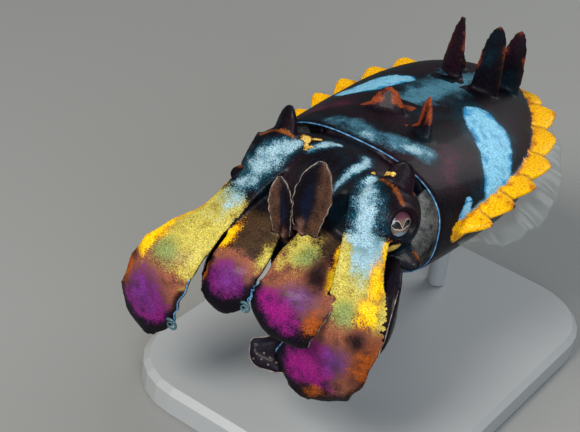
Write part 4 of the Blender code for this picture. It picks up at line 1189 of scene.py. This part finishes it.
def tube(line, radius, beads=0.0, closed=False):
    """A thin round tube along a line of points, with beads if asked."""
    rings = []
    for i, point in enumerate(line):
        ahead = Vector(np.array(line[min(i + 1, len(line) - 1)]) - np.array(line[max(i - 1, 0)])).normalized()
        first = (first - ahead * first.dot(ahead) if rings else ahead.orthogonal()).normalized()
        second = ahead.cross(first)
        ends = min(1.0, 0.3 + 0.2 * i, 0.3 + 0.2 * (len(line) - 1 - i)) if not closed else 1.0
        thick = radius * ends * (1 + beads * (0.5 + 0.5 * math.cos(2 * math.pi * i / BEAD_SPACING)))
        rings.append([Vector(point) + (first * math.cos(a) + second * math.sin(a)) * thick
                      for a in (2 * math.pi * k / LINE_SIDES for k in range(LINE_SIDES))])
    return loft(rings, closed)


def line_material(name, pale, deep):
    """A fine edge of skin. Its two tones wander, so that it doesn't look like a drawn wire."""
    material, tree, shader = new_material(name)
    place = node(tree, "ShaderNodeTexCoord").outputs["Object"]
    grain = node(tree, "ShaderNodeTexNoise", inputs={"Vector": place, "Scale": 1 / (0.9 * MM), "Detail": 2.0})
    tone = node(tree, "ShaderNodeMapRange",
                inputs={"Value": grain.outputs["Fac"], "From Min": 0.35, "From Max": 0.65})
    mixed = node(tree, "ShaderNodeMix", {"data_type": "RGBA"},
                 {"Factor": tone.outputs[0], "A": colour(deep), "B": colour(pale)})
    tree.links.new(mixed.outputs["Result"], shader.inputs["Base Color"])
    shader.inputs["Roughness"].default_value = 0.4
    return material


skin_faces = [tuple(p.vertices) for p in skin.data.polygons]
skin_tree = BVHTree.FromPolygons([tuple(p) for p in points], skin_faces)
pale_lines, painted_highlight_lines = [], []
for arm in ARMS:
    lines = laid_on_skin(edge_path(arm), skin_tree)
    pale_lines += [tube(line, LINE_RADIUS) for line in lines]
# A painted highlight: a bright blue line all round the mantle rim
rim_ring = [np.array(p) for p in mantle_ring(RIM, -0.25, 0.35)]
painted_highlight_lines.append(tube(rim_ring, RIM_LINE_RADIUS, closed=True))
# A painted highlight: a beaded blue line along the inner edge of the four broad arms
for arm in ("arm_2_right", "arm_2_left", "arm_3_right", "arm_3_left"):
    inner_edge = [arm_surface(arm, 0.55 + 0.33 * i / 120, arm_side(arm) * 0.97)[0] for i in range(121)]
    lines = laid_on_skin(inner_edge, skin_tree)
    painted_highlight_lines += [tube(line, INNER_LINE_RADIUS, beads=1.0) for line in lines]
pale_edge = line_material("pale_skin_edge", "#A0968A", "#4E423E")
# The blue lines are painted highlight, in two wandering blue tones
painted_highlight_edge = line_material("painted_blue_highlight_edge", "#6CA8D0", "#1E5488")
for name, lines, material in (("pale_edges", pale_lines, pale_edge), ("blue_edges", painted_highlight_lines, painted_highlight_edge)):
    piece = add_piece(name, *join_lofts(lines))
    piece.data.materials.append(material)
    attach(piece, "root")
    print(name, "lines:", len(lines), "faces:", len(piece.data.polygons))

# %% [markdown]
# The eye is a ball under a clear wet cornea. A cuttlefish's pupil is a dark W: two lobes joined by a narrow
# band, with a thin pale line round it. The shape is a formula over the front of the ball, stored as a
# field.

# %% Eyes
def eye(name, side):
    centre, axis = side_of(EYE_CENTRE, side), side_of(EYE_AXIS, side)
    ball_points, ball_faces = ball(centre, (EYE_RADIUS, EYE_RADIUS), axis, 96, 72)
    piece = add_piece(name, ball_points, ball_faces)
    up = np.array((0.0, 0.0, 1.0))
    axis = np.array(axis)
    up -= axis * (up @ axis)
    up /= np.linalg.norm(up)
    ahead = np.cross(up, axis) * -side
    local = np.array([tuple(p) for p in ball_points]) - np.array(centre)
    a, b = local @ ahead, local @ up
    middle = 0.15 - 0.75 * np.exp(-(a / 0.55) ** 2)
    half = np.where(a > 0, 0.62, 0.5) * np.exp(-((np.abs(a) - 1.0) / 0.75) ** 4) + 0.06
    pupil = (half - np.abs(b - middle)) * 2.0
    store(piece, "pupil", np.minimum(pupil, 2.0 - np.abs(a)))
    store(piece, "up", b)
    return piece


def eye_material():
    """A hard clear coat over the iris. Its one small sharp highlight makes the eye look wet and alive."""
    material, tree, shader = new_material("wet_cornea_over_iris")
    pupil = node(tree, "ShaderNodeAttribute", {"attribute_name": "pupil"}).outputs["Fac"]
    up = node(tree, "ShaderNodeAttribute", {"attribute_name": "up"}).outputs["Fac"]
    place = node(tree, "ShaderNodeTexCoord").outputs["Object"]
    grain = node(tree, "ShaderNodeTexNoise",
                 inputs={"Vector": place, "Scale": 1 / (0.25 * MM), "Detail": 3.0})
    iris = node(tree, "ShaderNodeMix", {"data_type": "RGBA"},
                {"Factor": grain.outputs["Fac"], "A": colour("#3A2C26"), "B": colour("#9A866C")})
    low = node(tree, "ShaderNodeMapRange", inputs={"Value": up, "From Min": -1.2, "From Max": -1.9})
    arc = node(tree, "ShaderNodeMix", {"data_type": "RGBA"},
               {"Factor": low.outputs[0], "A": iris.outputs["Result"], "B": colour("#9CB4C8")})
    high = node(tree, "ShaderNodeMapRange", inputs={"Value": up, "From Min": 0.4, "From Max": 1.2})
    lid = node(tree, "ShaderNodeMix", {"data_type": "RGBA"},
               {"Factor": high.outputs[0], "A": arc.outputs["Result"], "B": colour("#6A3A48")})
    line = node(tree, "ShaderNodeMapRange", inputs={"Value": pupil, "From Min": -0.35, "From Max": -0.15})
    lined = node(tree, "ShaderNodeMix", {"data_type": "RGBA"},
                 {"Factor": line.outputs[0], "A": lid.outputs["Result"], "B": colour("#D8C4B8")})
    black = node(tree, "ShaderNodeMapRange", inputs={"Value": pupil, "From Min": -0.02, "From Max": 0.06})
    whole = node(tree, "ShaderNodeMix", {"data_type": "RGBA"},
                 {"Factor": black.outputs[0], "A": lined.outputs["Result"], "B": colour("#020203")})
    tree.links.new(whole.outputs["Result"], shader.inputs["Base Color"])
    shader.inputs["Roughness"].default_value = 0.3
    shader.inputs["Coat Weight"].default_value = 1.0
    shader.inputs["Coat Roughness"].default_value = 0.03
    return material


wet_eye = eye_material()
for name, side in (("eye_left", 1), ("eye_right", -1)):
    piece = eye(name + "_ball", side)
    piece.data.materials.append(wet_eye)
    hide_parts(name)
    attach(piece, "root")
print("eyes made")

# %% [markdown]
# The fins are clear, soft sheets that ripple from front to back. Each is a thin closed sheet, waved by a
# sine.

# %% Fins
FIN_SPAN = (-24.0, 27.0)
FIN_REACH = 6.2
FIN_HEIGHT = (-3.4, -0.4)
FIN_WAVES = 5.5
FIN_WRINKLES = 19
FIN_THICK = 0.3
FIN_ROWS = 220
FIN_COLUMNS = 16


def fin(name, side):
    rings = []
    for i in range(FIN_ROWS + 1):
        share = i / FIN_ROWS
        rise = math.sin(0.5 * math.pi * min(1.0, 2.2 * share))
        height = FIN_HEIGHT[0] + (FIN_HEIGHT[1] - FIN_HEIGHT[0]) * rise
        root, out = margin_point(FIN_SPAN[0] + (FIN_SPAN[1] - FIN_SPAN[0]) * share, height)
        reach = FIN_REACH * min(1.0, 4.5 * share + 0.12) * (1 - 0.35 * share ** 3)
        upper, lower = [], []
        for j in range(FIN_COLUMNS + 1):
            u = j / FIN_COLUMNS
            wave = 0.8 * u * math.sin(2 * math.pi * FIN_WAVES * share)
            wave += 0.16 * u * math.sin(2 * math.pi * FIN_WRINKLES * share)
            point = root + out * (-0.5 + (reach + 0.5) * u) + Vector((0, 0, -0.30 * reach * u * u + wave))
            thick = Vector((0, 0, FIN_THICK / 2 * (1 - 0.6 * u)))
            upper.append(on_side(point + thick, side))
            lower.append(on_side(point - thick, side))
        rings.append(upper + lower[::-1])
    return add_piece(name, *loft(rings))


def fin_material():
    """Nearly clear membrane. The eye finds the fin by its ripples and its soft gloss alone."""
    material, tree, shader = new_material("clear_fin_membrane")
    shader.inputs["Base Color"].default_value = colour("#8A9896")
    shader.inputs["Roughness"].default_value = 0.25
    shader.inputs["Alpha"].default_value = 0.14
    return material


clear_membrane = fin_material()
for name, side in (("fin_left", 1), ("fin_right", -1)):
    piece = fin(name + "_membrane", side)
    piece.data.materials.append(clear_membrane)
    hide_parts(name)
    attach(piece, "root")
print("fins made")

# %% [markdown]
# Suckers sit in rows along the muscle, on the inner face of the six long arms. The two short first arms are
# left bare. Geometry Nodes put a small cup on each point of a list, turned the way the surface looks there.
# The cups are realized, because the export drops instances.

# %% Suckers
SUCKER_COUNT = {"arm_2": 22, "arm_3": 26, "arm_4": 20}
SUCKER_END = {"arm_2": 0.94, "arm_3": 0.94, "arm_4": 0.90}
SUCKER_RADIUS = (0.52, 0.14)


def sucker_cup():
    """A cup one unit wide: a swollen ring with a dimple, on a short foot."""
    profile = [(0.7, -0.5), (0.95, 0.1), (1.0, 0.45), (0.85, 0.62), (0.6, 0.5), (0.35, 0.25)]
    turns = [2 * math.pi * k / 12 for k in range(12)]
    rings = [[Vector((r * math.cos(a), r * math.sin(a), h)) for a in turns] for r, h in profile]
    cup = new_object("cup", *loft(rings))
    cup.data.shade_smooth()
    return cup


def sucker_points():
    spots, axes, sizes = [], [], []
    for arm in ARMS:
        if arm[:5] not in SUCKER_COUNT:
            continue
        count = SUCKER_COUNT[arm[:5]]
        for i in range(count):
            share = 0.22 + (SUCKER_END[arm[:5]] - 0.22) * i / (count - 1)
            muscle = arm_side(arm) * CORE_AT * min(1.0, share / CORE_SHIFT)
            _, half, _, _, _ = arm_frame(arm, share)
            radius = min(SUCKER_RADIUS[0] + (SUCKER_RADIUS[1] - SUCKER_RADIUS[0]) * share, 0.13 * half)
            for row in range(2):
                s = muscle + (-0.33, 0.09)[row] + (0.21 if i % 2 else 0.0)
                outer, inner = arm_surface(arm, share, max(-0.93, min(0.93, s)))
                spots.append(tuple(inner))
                axes.append(tuple((inner - outer).normalized()))
                sizes.append(radius * MM)
    return spots, axes, sizes


def scatter_tree(material):
    """Geometry Nodes: an object on each point, turned and sized by the points' own attributes."""
    tree = bpy.data.node_groups.new("scatter", "GeometryNodeTree")
    tree.interface.new_socket("Geometry", in_out="INPUT", socket_type="NodeSocketGeometry")
    tree.interface.new_socket("Cup", in_out="INPUT", socket_type="NodeSocketObject")
    tree.interface.new_socket("Geometry", in_out="OUTPUT", socket_type="NodeSocketGeometry")
    group_in = node(tree, "NodeGroupInput")
    info = node(tree, "GeometryNodeObjectInfo", inputs={"Object": group_in.outputs["Cup"]})
    axis = node(tree, "GeometryNodeInputNamedAttribute", {"data_type": "FLOAT_VECTOR"}, {"Name": "axis"})
    size = node(tree, "GeometryNodeInputNamedAttribute", {"data_type": "FLOAT"}, {"Name": "size"})
    turn = node(tree, "FunctionNodeAlignRotationToVector", {"axis": "Z"},
                {"Vector": axis.outputs["Attribute"]})
    spread = node(tree, "GeometryNodeInstanceOnPoints",
                  inputs={"Points": group_in.outputs["Geometry"], "Instance": info.outputs["Geometry"],
                          "Rotation": turn.outputs[0], "Scale": size.outputs["Attribute"]})
    real = node(tree, "GeometryNodeRealizeInstances", inputs={"Geometry": spread.outputs[0]})
    finish = node(tree, "GeometryNodeSetMaterial", inputs={"Geometry": real.outputs[0], "Material": material})
    node(tree, "NodeGroupOutput", inputs={"Geometry": finish.outputs[0]})
    return tree


def moist_flesh(name, grain_size, deep, pale):
    """Soft wet flesh. A low gloss rounds each small form, and two tones keep it from looking cast."""
    material, tree, shader = new_material(name)
    place = node(tree, "ShaderNodeTexCoord").outputs["Object"]
    grain = node(tree, "ShaderNodeTexNoise", inputs={"Vector": place, "Scale": 1 / (grain_size * MM)})
    tone = node(tree, "ShaderNodeMix", {"data_type": "RGBA"},
                {"Factor": grain.outputs["Fac"], "A": colour(deep), "B": colour(pale)})
    tree.links.new(tone.outputs["Result"], shader.inputs["Base Color"])
    shader.inputs["Roughness"].default_value = 0.35
    return material


spots, axes, sizes = sucker_points()
suckers = add_piece("suckers", spots, [], smooth=False)
store(suckers, "axis", axes, "FLOAT_VECTOR")
store(suckers, "size", sizes)
cup = sucker_cup()
tree = scatter_tree(moist_flesh("moist_sucker_flesh", 0.6, "#2C2430", "#7A6858"))
scatter = suckers.modifiers.new("scatter", "NODES")
scatter.node_group = tree
cup_socket = next(item for item in tree.interface.items_tree if item.name == "Cup")
scatter[cup_socket.identifier] = cup
evaluated(suckers)
suckers.data.shade_smooth()
bpy.data.objects.remove(cup)
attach(suckers, "root")
print("suckers:", len(spots), "faces:", len(suckers.data.polygons))

# %% [markdown]
# Two of the right arms show a fine curled end, which lies against the inner edge of the petal. Each is a
# tapered tube wound in a flat spiral, as a hand would coil a thread.

# %% Coiled tips
CURLS = {"arm_2_right": (0.80, 1.05), "arm_3_right": (0.84, 1.25)}
CURL_TURNS = 1.6
CURL_THICK = 0.55


def tip_curl(arm):
    start, size = CURLS[arm]
    centre, half, ahead, normal, across = arm_frame(arm, start)
    inward = across * arm_side(arm)
    centre = centre + inward * (half - 0.25 * size) - normal * 0.5
    rings = []
    for i in range(61):
        share = i / 60
        angle = 2 * math.pi * (CURL_TURNS * share - 0.35)
        outward = inward * math.cos(angle) + ahead * math.sin(angle)
        middle = centre + outward * size * (1 - 0.85 * share)
        thick = CURL_THICK / 2 * (1 - 0.6 * share)
        rings.append([middle + (outward * math.cos(a) + normal * math.sin(a)) * thick
                      for a in (2 * math.pi * k / 10 for k in range(10))])
    return loft(rings)


coils = add_piece("coiled_tips", *join_lofts([tip_curl(arm) for arm in CURLS]))
coils.data.materials.append(moist_flesh("moist_arm_tip", 0.4, "#0C1C26", "#4E7C86"))
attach(coils, "root")
print("coils:", len(CURLS))

# %% [markdown]
# The stand is a plain slab and two rods of pale grey acrylic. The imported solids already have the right
# shape, so they keep it and only get their finish.

# %% Stand
def stand_material():
    """Satin acrylic, pale and plain. Its faint sheen shows the slab and leaves the eye to the animal."""
    material, tree, shader = new_material("satin_grey_acrylic")
    place = node(tree, "ShaderNodeTexCoord").outputs["Object"]
    grain = node(tree, "ShaderNodeTexNoise", inputs={"Vector": place, "Scale": 900.0, "Detail": 3.0})
    rough = node(tree, "ShaderNodeMapRange",
                 inputs={"Value": grain.outputs["Fac"], "To Min": 0.30, "To Max": 0.36})
    tree.links.new(rough.outputs[0], shader.inputs["Roughness"])
    shader.inputs["Base Color"].default_value = colour("#9FA3A4")
    return material


acrylic = stand_material()
for name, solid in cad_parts.items():
    if name.startswith("stand_"):
        solid.data.materials.clear()
        solid.data.materials.append(acrylic)
print("stand pieces:", sum(name.startswith("stand_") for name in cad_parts))

# %% [markdown]
# The camera stands where the photographer's did: in front, to the left and above, rolled by nine degrees.
# Its place was worked out from where the eyes, the flaps and the rim of the mantle appear. The lens is
# long, so the picture has little perspective, and all of it is sharp.

# %% Camera
CAMERA_TURN = 31.3
CAMERA_RISE = 33.1
CAMERA_ROLL = 9.1
CAMERA_DISTANCE = 289.0
CAMERA_TARGET = (-15.7, -23.8, -15.3)
FOCAL_PIXELS = 1529.0
PHOTO_WIDTH = 580


def camera_axes():
    turn, rise, roll = (math.radians(angle) for angle in (CAMERA_TURN, CAMERA_RISE, CAMERA_ROLL))
    back = Vector((math.sin(turn) * math.cos(rise), -math.cos(turn) * math.cos(rise), math.sin(rise)))
    level = Vector((math.cos(turn), math.sin(turn), 0))
    above = back.cross(level)
    right = level * math.cos(roll) + above * math.sin(roll)
    return right, back.cross(right), back


right, above, back = camera_axes()
lens = bpy.data.cameras.new("camera")
lens.sensor_width = 36.0
lens.lens = FOCAL_PIXELS * lens.sensor_width / PHOTO_WIDTH
lens.clip_start, lens.clip_end = 0.01, 20.0
camera = bpy.data.objects.new("camera", lens)
bpy.context.scene.collection.objects.link(camera)
place = Vector(to_metres(Vector(CAMERA_TARGET) + back * CAMERA_DISTANCE)[0])
camera.matrix_world = Matrix.Translation(place) @ Matrix((right, above, back)).transposed().to_4x4()
bpy.context.scene.camera = camera
print("camera at", [round(v, 3) for v in place])

# %% [markdown]
# The model stands on a sheet of matt grey paper, which throws no reflection of its own. A strong soft lamp
# shines from in front and above, a weaker one fills the shadows from the animal's left, and one behind
# draws the outline.

# %% Floor and light
FLOOR_HALF = 1.5

floor_corners = [(x * FLOOR_HALF, y * FLOOR_HALF, 0) for x, y in ((-1, -1), (1, -1), (1, 1), (-1, 1))]
floor = new_object("floor", floor_corners, [(0, 1, 2, 3)])
paper, tree, shader = new_material("matt_paper")
shader.inputs["Base Color"].default_value = colour("#8A8C8A")
shader.inputs["Roughness"].default_value = 0.9
floor.data.materials.append(paper)

# Name, place, size and power of each lamp, with its tint
LAMPS = [("key", (-0.06, -0.46, 0.48), 0.22, 3.9, "#FFF8F0"),
         ("fill", (0.36, -0.36, 0.26), 0.30, 1.7, "#EAF2FF"),
         ("back", (0.10, 0.45, 0.40), 0.35, 1.8, "#FFFFFF")]
for name, spot, size, power, tint in LAMPS:
    lamp = bpy.data.lights.new(name, "AREA")
    lamp.size, lamp.energy, lamp.color = size, power, colour(tint)[:3]
    holder = bpy.data.objects.new(name, lamp)
    holder.location = spot
    holder.rotation_euler = (Vector((0, -0.02, 0.04)) - Vector(spot)).to_track_quat("-Z", "Y").to_euler()
    bpy.context.scene.collection.objects.link(holder)
world = bpy.data.worlds.new("studio")
world.use_nodes = True
world.node_tree.nodes["Background"].inputs["Color"].default_value = colour("#D8DCE0")
world.node_tree.nodes["Background"].inputs["Strength"].default_value = 0.2
bpy.context.scene.world = world
bpy.context.scene.view_settings.view_transform = "Standard"
print("lamps:", len(LAMPS))
